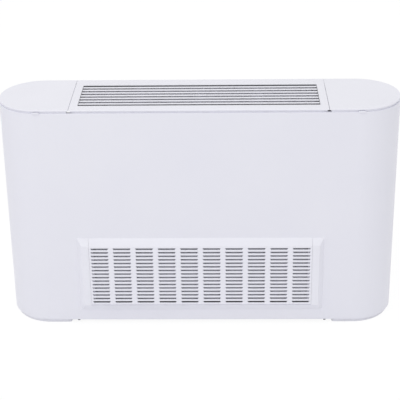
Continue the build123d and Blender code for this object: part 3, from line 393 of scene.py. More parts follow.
# %% Filter net
THREAD_MM = 2.0
filter_net, tree, shader, place = surface("knitted_nylon_net", "#B8B9C1", 0.75)
warp = add(tree, "ShaderNodeTexWave", {"Vector": place, "Scale": 0.314 / (THREAD_MM * MM)},
           bands_direction="X")
weft = add(tree, "ShaderNodeTexWave", {"Vector": place, "Scale": 0.314 / (THREAD_MM * MM)},
           bands_direction="Z")
crossing = add(tree, "ShaderNodeMath", {0: warp.outputs["Fac"], 1: weft.outputs["Fac"]},
               operation="MAXIMUM")
tint(tree, shader, crossing.outputs[0], "#A2A3AB", "#C6C7CF")
vary(tree, shader, crossing.outputs[0], "Roughness", 0.68, 0.82)
relief(tree, shader, crossing.outputs[0], 0.3)
print("threads every", THREAD_MM, "mm")

# %% [markdown]
# ## Modelling helpers
# Every new piece starts in a bmesh, in millimetres, and a few steps come back on each of them: make a
# block, make a round bar, round some edges, cut with a plane. At the end one function scales the mesh to
# metres, shades it smooth except across sharp edges and hangs it on the body that carries it.

# %% Modelling helpers
ROUND_STEPS = 4


def block(bm, x0, x1, y0, y1, z0, z1):
    """Add a box between two corners and return its vertices."""
    size = Matrix.Diagonal((x1 - x0, y1 - y0, z1 - z0, 1))
    middle = Matrix.Translation(((x0 + x1) / 2, (y0 + y1) / 2, (z0 + z1) / 2))
    return bmesh.ops.create_cube(bm, size=1, matrix=middle @ size)["verts"]


def bar(bm, start, end, radius, sides=24, end_radius=None):
    """Add a round bar from one point to another and return its vertices."""
    start, end = Vector(start), Vector(end)
    turn = (end - start).to_track_quat("Z", "Y").to_matrix().to_4x4()
    middle = Matrix.Translation((start + end) / 2)
    far = radius if end_radius is None else end_radius
    return bmesh.ops.create_cone(bm, cap_ends=True, segments=sides, radius1=radius, radius2=far,
                                 depth=(end - start).length, matrix=middle @ turn)["verts"]


def round_edges(bm, edges, radius, steps=ROUND_STEPS):
    """Round a set of edges to a radius."""
    return bmesh.ops.bevel(bm, geom=list(edges), offset=radius, offset_type="OFFSET", segments=steps,
                           profile=0.5, affect="EDGES", clamp_overlap=True, material=-1)["faces"]


def cut(bm, x=None, y=None, z=None):
    """Divide every face along the plane at one coordinate."""
    normal = Vector((x is not None, y is not None, z is not None))
    point = normal * next(c for c in (x, y, z) if c is not None)
    whole = list(bm.verts) + list(bm.edges) + list(bm.faces)
    bmesh.ops.bisect_plane(bm, geom=whole, dist=1e-4, plane_co=point, plane_no=normal)


def remove(bm, inside):
    """Delete the faces whose middle passes a test."""
    gone = [face for face in bm.faces if inside(face.calc_center_median())]
    bmesh.ops.delete(bm, geom=gone, context="FACES")


def rounded_plan(bm, x0, x1, y0, y1, z, corners, radius, steps=28):
    """A level face whose corners at the given x are rounded in plan."""
    size = Matrix.Diagonal((x1 - x0, y1 - y0, 1, 1))
    middle = Matrix.Translation(((x0 + x1) / 2, (y0 + y1) / 2, z))
    made = bmesh.ops.create_grid(bm, x_segments=1, y_segments=1, size=0.5, matrix=middle @ size)["verts"]
    sharp = [v for v in made if any(abs(v.co.x - x) < 0.01 for x in corners)]
    bmesh.ops.bevel(bm, geom=sharp, offset=radius, offset_type="OFFSET", segments=steps, profile=0.5,
                    affect="VERTICES", material=-1)
    return bm.faces[:]


def raise_face(bm, faces, height):
    """Pull faces up into a block and return the new top faces."""
    grown = bmesh.ops.extrude_face_region(bm, geom=list(faces), use_keep_orig=True)["geom"]
    bmesh.ops.translate(bm, verts=[g for g in grown if isinstance(g, bmesh.types.BMVert)], vec=(0, 0, height))
    bmesh.ops.recalc_face_normals(bm, faces=bm.faces[:])
    return [g for g in grown if isinstance(g, bmesh.types.BMFace)]


def mirrored(bm):
    """Turn a right-hand piece into its left-hand twin."""
    bmesh.ops.scale(bm, verts=bm.verts[:], vec=(-1, 1, 1))
    bmesh.ops.reverse_faces(bm, faces=bm.faces[:])


def piece(name, bm, material, body, stands_for=(), sharp_angle=35, skin=None, even_skin=True):
    """Finish a mesh: scale it to metres, shade it, thicken a sheet, and hang it on its body."""
    bmesh.ops.scale(bm, verts=bm.verts[:], vec=(MM, MM, MM))
    mesh = bpy.data.meshes.new(name)
    bm.to_mesh(mesh)
    bm.free()
    mesh.polygons.foreach_set("use_smooth", [True] * len(mesh.polygons))
    mesh.set_sharp_from_angle(angle=math.radians(sharp_angle))
    mesh.materials.append(material)
    made = bpy.data.objects.new(name, mesh)
    bpy.context.scene.collection.objects.link(made)
    if skin:
        wall = made.modifiers.new("skin", "SOLIDIFY")
        wall.thickness, wall.offset, wall.use_even_offset = skin * MM, -1, even_skin
    evened = made.modifiers.new("even_shading", "WEIGHTED_NORMAL")
    evened.keep_sharp = True
    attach(made, body)
    if stands_for:
        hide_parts(*stands_for)
    print(name, "has", len(mesh.polygons), "faces")
    return made


# %% [markdown]
# ## Front casing
# One sheet of 1.2 mm steel wraps the front and both ends. It is rolled round at the ends and folded in at
# its top and bottom rim. A box could be bevelled into this, but a folded sheet is thin, so the outline is
# pulled up as a ring, its rims are inset to make the folds, and the Solidify modifier gives the sheet its
# thickness last. The back is open to the wall, and the intake window is cut low on the front.

# %% Front casing
SHEET_MM = 1.2
END_RADIUS = 106.0
FOLD = 10.0
FOLD_RADIUS = 1.8
LOW_FOLD_RADIUS = 3.0
BACK_RETURN_X = 380.0
HINGE_CUT_X = 442.0
HINGE_CUT_Y = 96.5
HINGE_CUT_Z = 578.0
panel_low, panel_high = node_box("intake_grille")
frame_low, frame_high = node_box("intake_frame")
WINDOW_X = 285.3
WINDOW_LOW = 61.0
WINDOW_HIGH = 233.0

bm = bmesh.new()
base = rounded_plan(bm, casing_low.x, casing_high.x, casing_low.y, casing_high.y, casing_low.z,
                    (casing_low.x, casing_high.x), END_RADIUS)
raise_face(bm, base, casing_high.z - casing_low.z)
for level_z in (casing_low.z, casing_high.z):
    rim = [f for f in bm.faces if abs(f.calc_center_median().z - level_z) < 0.01]
    bmesh.ops.inset_region(bm, faces=rim, thickness=FOLD, use_even_offset=True)
    bmesh.ops.delete(bm, geom=rim, context="FACES")
folds = [e for e in bm.edges if len(e.link_faces) == 2
         and abs(e.link_faces[0].normal.z) + abs(e.link_faces[1].normal.z) > 0.9
         and abs(e.link_faces[0].normal.z) * abs(e.link_faces[1].normal.z) < 0.1]
low_folds = [e for e in folds if e.verts[0].co.z < casing_low.z + 0.01]
round_edges(bm, [e for e in folds if e.verts[0].co.z > casing_low.z + 0.01], FOLD_RADIUS)
round_edges(bm, [e for e in low_folds if e.is_valid], LOW_FOLD_RADIUS)
for x in (-HINGE_CUT_X, -BACK_RETURN_X, -WINDOW_X, WINDOW_X, BACK_RETURN_X, HINGE_CUT_X):
    cut(bm, x=x)
for y in (0.0, HINGE_CUT_Y):
    cut(bm, y=y)
for z in (WINDOW_LOW, WINDOW_HIGH, HINGE_CUT_Z):
    cut(bm, z=z)
remove(bm, lambda c: abs(c.x) < BACK_RETURN_X and c.y > 0)
remove(bm, lambda c: abs(c.x) < HINGE_CUT_X and c.y > HINGE_CUT_Y and c.z > HINGE_CUT_Z)
remove(bm, lambda c: abs(c.x) < WINDOW_X and c.y < 0 and WINDOW_LOW < c.z < WINDOW_HIGH
       and c.y < casing_low.y + SHEET_MM)
casing = piece("front_casing_sheet", bm, powder_coat, "chassis", ["front_casing"],
               skin=SHEET_MM)

# %% [markdown]
# ## Lids
# Each rounded end has a moulded lid that lifts on a pin at the back, so that a hand reaches the valves on
# the left and the controls on the right. Its edge steps in over the casing, which gives the soft dark band
# that the picture shows between the two, and a small finger tab stands out of its front edge. Below it
# has ribs and two bosses that turn on the pin. The right one is modelled and the left is its twin.

# %% Lids
LID_SKIN = 2.0
LID_ROUND = 2.7
GROOVE = 5.8
GROOVE_DEPTH = 4.0
SEAM_EDGE = 0.5
TAB_X = 396.0
TAB_WIDTH = 17.0
TAB_HEIGHT = 3.2
LID_RIBS = (366.7, 412.7)
LID_RIB = 2.0
pin_low, pin_high = node_box("right_lid_pin")
PIN_Y, PIN_Z = (pin_low.y + pin_high.y) / 2, (pin_low.z + pin_high.z) / 2
EAR_X = (330.0, 386.0)
EAR_GAP = 4.0
BOSS_X = ((334.0, 338.0), (380.0, 384.0))
BOSS_RADIUS = 3.0
NOTCH_TOP = 593.0


def shadow_groove(bm, foot_z):
    """Step the underside in and carry it down as a skirt, which leaves a dark groove above the casing."""
    ledge = [f for f in bm.faces if abs(f.calc_center_median().z - foot_z - GROOVE) < 0.01]
    bmesh.ops.inset_region(bm, faces=ledge, thickness=GROOVE_DEPTH, use_even_offset=True)
    skirt = raise_face(bm, ledge, -GROOVE)
    bmesh.ops.delete(bm, geom=ledge + skirt, context="FACES")
    bmesh.ops.recalc_face_normals(bm, faces=bm.faces[:])
    if max(bm.faces, key=lambda f: f.calc_area()).normal.z < 0:
        bmesh.ops.reverse_faces(bm, faces=bm.faces[:])


def lid_mesh():
    """The right-hand lid, in millimetres."""
    low, high = node_box("right_lid")
    bm = bmesh.new()
    base = rounded_plan(bm, low.x, high.x, casing_low.y, casing_high.y, low.z + GROOVE, (high.x,), END_RADIUS)
    top = raise_face(bm, base, high.z - low.z - GROOVE)
    rim = set(e for f in top for e in f.edges)
    seam = [e for e in rim if abs(e.verts[0].co.x - low.x) < 0.01 and abs(e.verts[1].co.x - low.x) < 0.01]
    round_edges(bm, rim - set(seam), LID_ROUND, 6)
    seam = [e for e in bm.edges if all(abs(v.co.x - low.x) < 0.01 and v.co.z > low.z + GROOVE + 0.1
                                       for v in e.verts) and e.calc_face_angle(0) > 1]
    round_edges(bm, seam, SEAM_EDGE, 2)
    shadow_groove(bm, low.z)
    for ear in EAR_X:
        cut(bm, x=ear - 1)
        cut(bm, x=ear - 1 + EAR_GAP)
    cut(bm, z=NOTCH_TOP)
    for ear in EAR_X:
        remove(bm, lambda c: ear - 1 < c.x < ear - 1 + EAR_GAP and c.y > PIN_Y and c.z < NOTCH_TOP)
    outer = bm.faces[:]
    bmesh.ops.solidify(bm, geom=outer, thickness=LID_SKIN)
    bmesh.ops.remove_doubles(bm, verts=bm.verts[:], dist=1e-4)
    bmesh.ops.recalc_face_normals(bm, faces=bm.faces[:])
    for rib_x in LID_RIBS:
        block(bm, rib_x, rib_x + LID_RIB, casing_low.y + 2 * GROOVE_DEPTH, PIN_Y - 12, low.z + 1, high.z - 1)
    block(bm, low.x + 1, TAB_X + 30, casing_low.y + 109, casing_low.y + 111, low.z + 1, high.z - 1)
    for x0, x1 in BOSS_X:
        bar(bm, (x0, PIN_Y, PIN_Z), (x1, PIN_Y, PIN_Z), BOSS_RADIUS)
        block(bm, x0, x1, PIN_Y - BOSS_RADIUS, PIN_Y + BOSS_RADIUS, PIN_Z, high.z - 1)
    tab = block(bm, TAB_X - TAB_WIDTH / 2, TAB_X + TAB_WIDTH / 2, low.y, casing_low.y + GROOVE_DEPTH + 1,
                low.z, low.z + TAB_HEIGHT)
    edges = set(e for v in tab for e in v.link_edges)
    upright = [e for e in edges if abs(e.verts[0].co.z - e.verts[1].co.z) > 1
               and e.verts[0].co.y < low.y + 0.1]
    round_edges(bm, upright, 2.8)
    crown = [e for e in bm.edges if all(abs(v.co.z - low.z - TAB_HEIGHT) < 0.01 and v.co.y < casing_low.y
                                        for v in e.verts)]
    round_edges(bm, crown, 0.9, 3)
    return bm


piece("right_lid_cover", lid_mesh(), moulded_abs, "right_lid", ["right_lid"])
left = lid_mesh()
mirrored(left)
piece("left_lid_cover", left, moulded_abs, "left_lid", ["left_lid"])

# %% [markdown]
# ## Top cover
# Between the lids lies a fixed cover of the same section. Its opening has a collar that drops 15 mm, and
# the louvre insert sits in it. The cover is a block with two rounded long edges, its opening cut by four
# planes, and the collar is pulled down from the edges of the hole.

# %% Top cover
COVER_SKIN = 2.0
OPENING_X = 296.5
OPENING_Y = 74.0
OPENING_EDGE = 0.7

bm = bmesh.new()
base = rounded_plan(bm, cover_low.x, cover_high.x, cover_low.y, cover_high.y, casing_high.z + GROOVE, (), 0)
top = raise_face(bm, base, cover_high.z - casing_high.z - GROOVE)
long_edges = [e for e in set(e for f in top for e in f.edges) if abs(e.verts[0].co.x - e.verts[1].co.x) > 1]
round_edges(bm, long_edges, LID_ROUND, 6)
seams = [e for e in bm.edges if e.calc_face_angle(0) > 1 and all(
    abs(abs(v.co.x) - cover_high.x) < 0.01 and v.co.z > casing_high.z + GROOVE + 0.1 for v in e.verts)]
round_edges(bm, seams, SEAM_EDGE, 2)
shadow_groove(bm, casing_high.z)
for x in (-OPENING_X, OPENING_X):
    cut(bm, x=x)
for y in (-OPENING_Y, OPENING_Y):
    cut(bm, y=y)
remove(bm, lambda c: abs(c.x) < OPENING_X and abs(c.y) < OPENING_Y)
hole = [e for e in bm.edges if e.is_boundary
        and all(abs(v.co.x) < OPENING_X + 0.01 and abs(v.co.y) < OPENING_Y + 0.01 for v in e.verts)]
collar = bmesh.ops.extrude_edge_only(bm, edges=hole)["geom"]
bmesh.ops.translate(bm, verts=[g for g in collar if isinstance(g, bmesh.types.BMVert)],
                    vec=(0, 0, cover_low.z - cover_high.z))
folded = [e for e in bm.edges if len(e.link_faces) == 2 and e.calc_face_angle(0) > 1
          and all(abs(v.co.z - cover_high.z) < 0.01 and abs(v.co.x) < OPENING_X + 0.01
                  and abs(v.co.y) < OPENING_Y + 0.01 for v in e.verts)]
bmesh.ops.recalc_face_normals(bm, faces=bm.faces[:])
if max(bm.faces, key=lambda f: f.calc_area()).normal.z < 0:
    bmesh.ops.reverse_faces(bm, faces=bm.faces[:])
round_edges(bm, folded, OPENING_EDGE, 3)
piece("top_cover_moulding", bm, moulded_abs, "chassis", ["top_cover"], skin=COVER_SKIN,
      even_skin=False)

# %% [markdown]
# ## Outlet louvre
# The insert has seven leaning blades and three thin ribs below them that hold the blades straight.
# Each blade is a tapered bar: wide and softly rounded on top, thin at its foot, so that air passes and
# the hand doesn't. A blade is drawn as a small outline and pulled along the opening.

# %% Outlet louvre
insert_low, insert_high = node_box("outlet_louvre")
BLADE_COUNT = 7
BLADE_TOP = 8.6
BLADE_FOOT = 2.8
BLADE_DEPTH = 12.4
BLADE_LEAN = 3.0
BLADE_EDGE = 1.1
BLADE_SUNK = -0.9
RIM_WALL = 2.0
RIB_COUNT = 3
RIB_WIDTH = 3.0
RIB_HEIGHT = 6.0
blade_pitch = (2 * OPENING_Y + BLADE_TOP) / (BLADE_COUNT + 1)

bm = bmesh.new()
for number in range(BLADE_COUNT):
    y = (number - (BLADE_COUNT - 1) / 2) * blade_pitch
    z = insert_high.z - BLADE_SUNK
    half, foot = BLADE_TOP / 2, BLADE_FOOT / 2
    outline = [(-half, 0), (half, 0), (half - 0.3, -BLADE_EDGE - 0.4), (foot + BLADE_LEAN, -BLADE_DEPTH),
               (BLADE_LEAN - foot, -BLADE_DEPTH), (BLADE_LEAN - foot - 1, -BLADE_DEPTH / 3),
               (-half + 0.3, -BLADE_EDGE - 0.4)]
    corners = [bm.verts.new((insert_low.x + 1, y + dy, z + dz)) for dy, dz in outline]
    grown = bmesh.ops.extrude_face_region(bm, geom=[bm.faces.new(corners)], use_keep_orig=True)["geom"]
    ends = [g for g in grown if isinstance(g, bmesh.types.BMVert)]
    bmesh.ops.translate(bm, verts=ends, vec=(insert_high.x - insert_low.x - 2, 0, 0))
bmesh.ops.recalc_face_normals(bm, faces=bm.faces[:])
crests = [e for e in bm.edges if abs(e.verts[0].co.x - e.verts[1].co.x) > 1
          and e.verts[0].co.z > insert_high.z - BLADE_SUNK - 0.01]
round_edges(bm, crests, BLADE_EDGE)
inner_x, inner_y = insert_high.x - RIM_WALL, insert_high.y - RIM_WALL
for number in range(RIB_COUNT):
    x = (number - (RIB_COUNT - 1) / 2) * 2 * insert_high.x / (RIB_COUNT + 1)
    block(bm, x - RIB_WIDTH / 2, x + RIB_WIDTH / 2, -inner_y, inner_y, insert_low.z,
          insert_low.z + RIB_HEIGHT)
piece("outlet_louvre_blades", bm, moulded_abs, "chassis", ["outlet_louvre"])

# %% [markdown]
# ## Rim of the louvre
# Round the blades the walls of the opening lie in shade, darkest at the far left corner. The rim that carries
# the blades is painted dark grey as shade, though the moulding itself is white, so that the opening reads as
# one shadow. It is four straight walls that overlap at the corners.

# %% Louvre rim
bm = bmesh.new()
for side in (-1, 1):
    x0, x1 = sorted((side * inner_x, side * insert_high.x))
    y0, y1 = sorted((side * inner_y, side * insert_high.y))
    block(bm, x0, x1, insert_low.y, insert_high.y, insert_low.z, insert_high.z)
    block(bm, insert_low.x + RIM_WALL, insert_high.x - RIM_WALL, y0, y1, insert_low.z, insert_high.z)
piece("outlet_louvre_rim", bm, louvre_rim_painted_shade, "chassis")

# %% [markdown]
# ## Intake surround
# Two bevelled side blocks and a bevelled sill stand 12 mm proud of the casing and frame the grille. They
# are one moulding. The whole bevelled form is drawn first, as a tapered box, and the place of the grille
# is cut out of it, because a mitre made that way closes exactly at the two lower corners.

# %% Intake surround
FORM_FRONT = -116.0
FORM_BASE = ((-314.0, 41.0), (314.0, 249.0))
FORM_FACE = ((-302.0, 60.2), (302.0, 231.0))
BLOCK_INNER = 284.2
PANEL_HALF = 283.8
FORM_SOFT = 0.9
TILT_Y, TILT_Z = -113.0, 64.0
TRUNNION_RADIUS = 2.5
BOSS_LENGTH = 7.6
BOSS_OUTER = 4.5


def tapered_form(bm, inset=0.0):
    """The bevelled block, open at its back, and its four front corners."""
    rings = []
    for (low, high), y in ((FORM_BASE, casing_low.y), (FORM_FACE, FORM_FRONT + inset)):
        x0, z0, x1, z1 = low[0] + inset, low[1] + inset, high[0] - inset, high[1] - inset
        rings.append([bm.verts.new((x, y, z)) for x, z in ((x0, z0), (x1, z0), (x1, z1), (x0, z1))])
    back, front = rings
    bm.faces.new(front)
    for i in range(4):
        j = (i + 1) % 4
        bm.faces.new((back[i], back[j], front[j], front[i]))
    bmesh.ops.recalc_face_normals(bm, faces=bm.faces[:])
    if max(bm.faces, key=lambda f: f.calc_area()).normal.y > 0:
        bmesh.ops.reverse_faces(bm, faces=bm.faces[:])


bm = bmesh.new()
tapered_form(bm)
round_edges(bm, [e for e in bm.edges if not e.is_boundary], FORM_SOFT, 3)
for x in (-BLOCK_INNER, BLOCK_INNER):
    cut(bm, x=x)
cut(bm, z=FORM_FACE[0][1])
remove(bm, lambda c: abs(c.x) < BLOCK_INNER and c.z > FORM_FACE[0][1])
mouth = [e for e in bm.edges if e.is_boundary and (
    all(abs(abs(v.co.x) - BLOCK_INNER) < 0.01 and v.co.z > FORM_FACE[0][1] - 0.01 for v in e.verts)
    or all(abs(v.co.z - FORM_FACE[0][1]) < 0.01 and abs(v.co.x) < BLOCK_INNER + 0.01 for v in e.verts))]
walls = bmesh.ops.extrude_edge_only(bm, edges=mouth)["geom"]
for vert in (g for g in walls if isinstance(g, bmesh.types.BMVert)):
    vert.co.y = casing_low.y
bmesh.ops.remove_doubles(bm, verts=bm.verts[:], dist=1e-4)
bmesh.ops.dissolve_degenerate(bm, edges=bm.edges[:], dist=1e-4)
bmesh.ops.recalc_face_normals(bm, faces=bm.faces[:])
if max(bm.faces, key=lambda f: f.calc_area()).normal.y > 0:
    bmesh.ops.reverse_faces(bm, faces=bm.faces[:])
for side in (-1, 1):
    bar(bm, (side * BLOCK_INNER, TILT_Y, TILT_Z), (side * (BLOCK_INNER + BOSS_LENGTH), TILT_Y, TILT_Z),
        BOSS_OUTER / 1.6)
piece("intake_surround", bm, moulded_abs, "chassis", ["intake_frame"], skin=2.2)

# %% [markdown]
# ## Intake grille
# The grille is a tilting panel with ten columns of sixteen slots. In the picture each slot is wider at its
# top than at its bottom, with slanted ends and a bright lip below it. One cell with one slot is modelled
# with its sloped lips, then the cell is repeated 160 times. Cutting 160 holes out of a single sheet
# would leave long thin faces with uneven shading.

# %% Intake grille
SLOT_COLUMNS, SLOT_ROWS = 10, 16
SLOT_PITCH_X, SLOT_PITCH_Z = 57.1, 10.2
SLOT_MIDDLE_Z = 146.3
SLOT_TOP, SLOT_BOTTOM = 46.0, 40.5
SLOT_TALL = 4.9
LIP_LOW, LIP_HIGH = 1.2, 0.4
PANEL_WALL = 3.0
GRILLE_LOW = 60.5
STIFFENER = 2.5


def slot_cell(bm, x, z):
    """One cell of the panel: the flat face, a softened slot edge and the walls of the slot."""
    half_x, half_z = SLOT_PITCH_X / 2, SLOT_PITCH_Z / 2
    outer = [(-half_x, -half_z), (half_x, -half_z), (half_x, half_z), (-half_x, half_z)]
    top, bottom, tall = SLOT_TOP / 2, SLOT_BOTTOM / 2, SLOT_TALL / 2
    edge = [(-bottom, -tall), (bottom, -tall), (top, tall), (-top, tall)]
    lips = [(-0.6, -LIP_LOW * 0.55), (0.6, -LIP_LOW * 0.55), (0.6, LIP_HIGH), (-0.6, LIP_HIGH)]
    rings = [[(x + dx, FORM_FRONT, z + dz) for dx, dz in outer],
             [(x + a + c, FORM_FRONT, z + b + d) for (a, b), (c, d) in zip(edge, lips)],
             [(x + a + 0.4 * c, FORM_FRONT + 0.35, z + b + 0.4 * d) for (a, b), (c, d) in zip(edge, lips)],
             [(x + a, FORM_FRONT + 0.9, z + b) for a, b in edge],
             [(x + a, FORM_FRONT + PANEL_WALL, z + b) for a, b in edge],
             [(x + dx, FORM_FRONT + PANEL_WALL, z + dz) for dx, dz in outer]]
    made = [[bm.verts.new(point) for point in ring] for ring in rings]
    for near, far in zip(made, made[1:]):
        for i in range(4):
            j = (i + 1) % 4
            bm.faces.new((near[i], near[j], far[j], far[i]))


bm = bmesh.new()
for column in range(SLOT_COLUMNS):
    for row in range(SLOT_ROWS):
        slot_cell(bm, (column - (SLOT_COLUMNS - 1) / 2) * SLOT_PITCH_X,
                  SLOT_MIDDLE_Z + (row - (SLOT_ROWS - 1) / 2) * SLOT_PITCH_Z)
field_half = SLOT_COLUMNS / 2 * SLOT_PITCH_X
for vert in bm.verts:
    if abs(vert.co.x) > PANEL_HALF:
        vert.co.x = math.copysign(PANEL_HALF, vert.co.x)
field_low = SLOT_MIDDLE_Z - SLOT_ROWS / 2 * SLOT_PITCH_Z
field_high = SLOT_MIDDLE_Z + SLOT_ROWS / 2 * SLOT_PITCH_Z
bmesh.ops.remove_doubles(bm, verts=bm.verts[:], dist=1e-4)
outline = [(FORM_FRONT, field_high), (FORM_FRONT, FORM_FACE[1][1]), (casing_low.y, FORM_BASE[1][1]),
           (casing_low.y + 1.2, FORM_BASE[1][1] - PANEL_WALL), (FORM_FRONT + PANEL_WALL, FORM_FACE[1][1] - 0.8),
           (FORM_FRONT + PANEL_WALL, field_high)]
columns = [-PANEL_HALF] + [(i - SLOT_COLUMNS / 2) * SLOT_PITCH_X for i in range(1, SLOT_COLUMNS)] + [PANEL_HALF]


def strip(bm, outline, stations):
    """Skin an outline in y and z along x, and return the faces at its two ends."""
    rows = [[bm.verts.new((x, y, z)) for y, z in outline] for x in stations]
    for near, far in zip(rows, rows[1:]):
        for i in range(len(outline) - 1):
            bm.faces.new((near[i], near[i + 1], far[i + 1], far[i]))
    return [bm.faces.new(rows[0]), bm.faces.new(rows[-1])]


strip(bm, outline, columns)
lower = [(FORM_FRONT + PANEL_WALL, field_low), (FORM_FRONT + PANEL_WALL, GRILLE_LOW + 0.4)]
for step in range(ROUND_STEPS + 2):
    turn = math.radians(90) * (1 - step / (ROUND_STEPS + 1))
    lower.append((FORM_FRONT + 2.9 - 2.9 * math.cos(turn), GRILLE_LOW + 2.9 - 2.9 * math.sin(turn)))
lower.append((FORM_FRONT, field_low))
strip(bm, lower, columns)
bmesh.ops.remove_doubles(bm, verts=bm.verts[:], dist=1e-4)
bmesh.ops.recalc_face_normals(bm, faces=bm.faces[:])
for number in range(1, SLOT_COLUMNS):
    x = (number - SLOT_COLUMNS / 2) * SLOT_PITCH_X
    block(bm, x - STIFFENER / 2, x + STIFFENER / 2, TILT_Y - 0.5, casing_low.y - 2, field_low, field_high)
filter_low, filter_high = node_box("filter_frame")
for side in (-1, 1):
    for x0, x1, y0, y1 in ((filter_high.x + 0.5, PANEL_HALF, -106.0, -94.5),
                           (filter_high.x - 3.0, PANEL_HALF, -104.3, -102.3),
                           (filter_high.x - 3.0, PANEL_HALF, -96.2, -94.5)):
        a, b = sorted((side * x0, side * x1))
        block(bm, a, b, y0, y1, TILT_Z + 2, FORM_FACE[1][1] - 5)
    bar(bm, (side * (PANEL_HALF - 5), TILT_Y, TILT_Z), (side * (PANEL_HALF + 5.4), TILT_Y, TILT_Z), TRUNNION_RADIUS)
grille_panel = piece("intake_grille_panel", bm, moulded_abs, "grille", ["intake_grille"])

# %% [markdown]
# ## Feet
# Under each rounded end sits a low moulded foot, set back 6 mm from the casing. Its lower edge is rounded,
# which gives the slightly darker band at the floor, and its inner end turns with small corners. The foot
# is pulled up from its outline, and its vertical corners at the inner end are rounded on their own. Two
# small dark rubber blocks under the casing's lower edge are painted shade for two shaded marks there.

# %% Feet
FOOT_INSET = 6.0
FOOT_CORNER = 6.0
FOOT_SOFT = 2.2
SHADE_MARK_X = 321.0
SHADE_MARK_WIDE = 6.0
SHADE_MARK_DEEP = 2.0


def foot_mesh():
    """The right-hand foot, in millimetres."""
    low, high = node_box("right_foot")
    bm = bmesh.new()
    raise_face(bm, rounded_plan(bm, low.x, high.x, low.y, high.y, low.z, (high.x,),
                                END_RADIUS - FOOT_INSET), high.z - low.z)
    inner = [e for e in bm.edges if all(abs(v.co.x - low.x) < 0.01 for v in e.verts)
             and abs(e.verts[0].co.z - e.verts[1].co.z) > 1]
    round_edges(bm, inner, FOOT_CORNER, 6)
    sole = [e for e in bm.edges if all(v.co.z < low.z + 0.01 for v in e.verts)]
    round_edges(bm, sole, FOOT_SOFT, 3)
    return bm


piece("right_foot_moulding", foot_mesh(), foot_abs, "chassis", ["right_foot"])
left = foot_mesh()
mirrored(left)
piece("left_foot_moulding", left, foot_abs, "chassis", ["left_foot"])

# Painted shade: two dark blocks under the casing's lower edge stand for two shaded marks, not for real stops.
bm = bmesh.new()
for side in (-1, 1):
    shade_mark = block(bm, side * SHADE_MARK_X - SHADE_MARK_WIDE / 2, side * SHADE_MARK_X + SHADE_MARK_WIDE / 2, casing_low.y + 2,
                 casing_low.y + 8, casing_low.z - SHADE_MARK_DEEP, casing_low.z)
piece("casing_edge_shade_marks", bm, nitrile, "chassis")

# %% [markdown]
# ## Coil fins and tubes
# The coil is a stack of thin aluminium fins with twelve copper tubes pushed through and expanded. A solid
# block would look like a casting from above, through the louvre. Each fin is a strip 0.25 mm thick, cut
# with a small wave along its front and back, and the strip is repeated across the coil.

# %% Coil fins and tubes
COIL_TILT = math.radians(35)
FIN_PITCH = 3.0
FIN_THICK = 0.25
FIN_WAVE = 1.2
FIN_HALF_X = 305.0
FIN_DEPTH = 64.0
FIN_TALL = 198.0
TUBE_RADIUS = 4.8
TUBE_PITCH = 200 / 6
ROW_PITCH = 22.0
PLATE_X = 308.0
coil_low, coil_high = node_box("left_coil_plate")
coil_middle = (coil_low + coil_high) / 2


def coil_point(x, across, along):
    """A point of the slanted coil: across its rows and along its height."""
    return Vector((x, coil_middle.y + across * math.cos(COIL_TILT) + along * math.sin(COIL_TILT),
                   coil_middle.z - across * math.sin(COIL_TILT) + along * math.cos(COIL_TILT)))


def tube_place(x, row, number):
    """Where a tube passes: row 0 is in front, number 0 is the lowest."""
    return coil_point(x, (row - 0.5) * ROW_PITCH, (number - 2.5) * TUBE_PITCH)


bm = bmesh.new()
for number in range(int(2 * FIN_HALF_X / FIN_PITCH) + 1):
    x = -FIN_HALF_X + number * FIN_PITCH
    outline = []
    for step in range(9):
        share = step / 8 - 0.5
        depth = FIN_DEPTH / 2 - (FIN_WAVE if step % 2 else 0)
        outline.append((-depth, share * FIN_TALL))
    outline += [(-across, along) for across, along in reversed(outline)]
    fin = bm.faces.new([bm.verts.new(coil_point(x, across, along)) for across, along in outline])
    grown = bmesh.ops.extrude_face_region(bm, geom=[fin], use_keep_orig=True)["geom"]
    bmesh.ops.translate(bm, verts=[g for g in grown if isinstance(g, bmesh.types.BMVert)], vec=(FIN_THICK, 0, 0))
bmesh.ops.recalc_face_normals(bm, faces=bm.faces[:])
piece("coil_fin_stack", bm, fin_foil, "chassis", ["coil_fins"], sharp_angle=20)

bm = bmesh.new()
for row in (0, 1):
    for number in range(6):
        bar(bm, tube_place(-FIN_HALF_X - 1, row, number), tube_place(FIN_HALF_X + 1, row, number), TUBE_RADIUS, 20)
piece("coil_tubes", bm, copper, "chassis", sharp_angle=40)

# %% [markdown]
# ## Copper bends and headers
# Outside the coil's plates the tubes are joined by half-round bends, and on the left two headers gather
# the circuits. The bends are drawn by turning a ring of points about the middle of each pair of tubes, in
# small steps, since a bent copper tube has no flats. Brazed joints get a small collar.

# %% Copper bends and headers
BEND_RUN = 6.0
BEND_STEPS = 14
COLLAR = 0.8
HEADER_X = -(309.2 + 44.0)
HEADER_RADIUS = 9.0
HEADER_LENGTH = 164.0
HEADER_SHIFT = 24.0
OUTLET_RADIUS = 8.0
OUTLET_END_Y = 76.0


def tube_along(bm, path, radius, sides=20):
    """A round tube along a list of points, closed at both ends."""
    rings = []
    for index, point in enumerate(path):
        before, after = path[max(index - 1, 0)], path[min(index + 1, len(path) - 1)]
        turn = (after - before).to_track_quat("Z", "X")
        rings.append([bm.verts.new(point + turn @ Vector((radius * math.cos(a), radius * math.sin(a), 0)))
                      for a in (2 * math.pi * side / sides for side in range(sides))])
    for near, far in zip(rings, rings[1:]):
        for side in range(sides):
            after = (side + 1) % sides
            bm.faces.new((near[side], near[after], far[after], far[side]))
    bm.faces.new(rings[0])
    bm.faces.new(rings[-1])


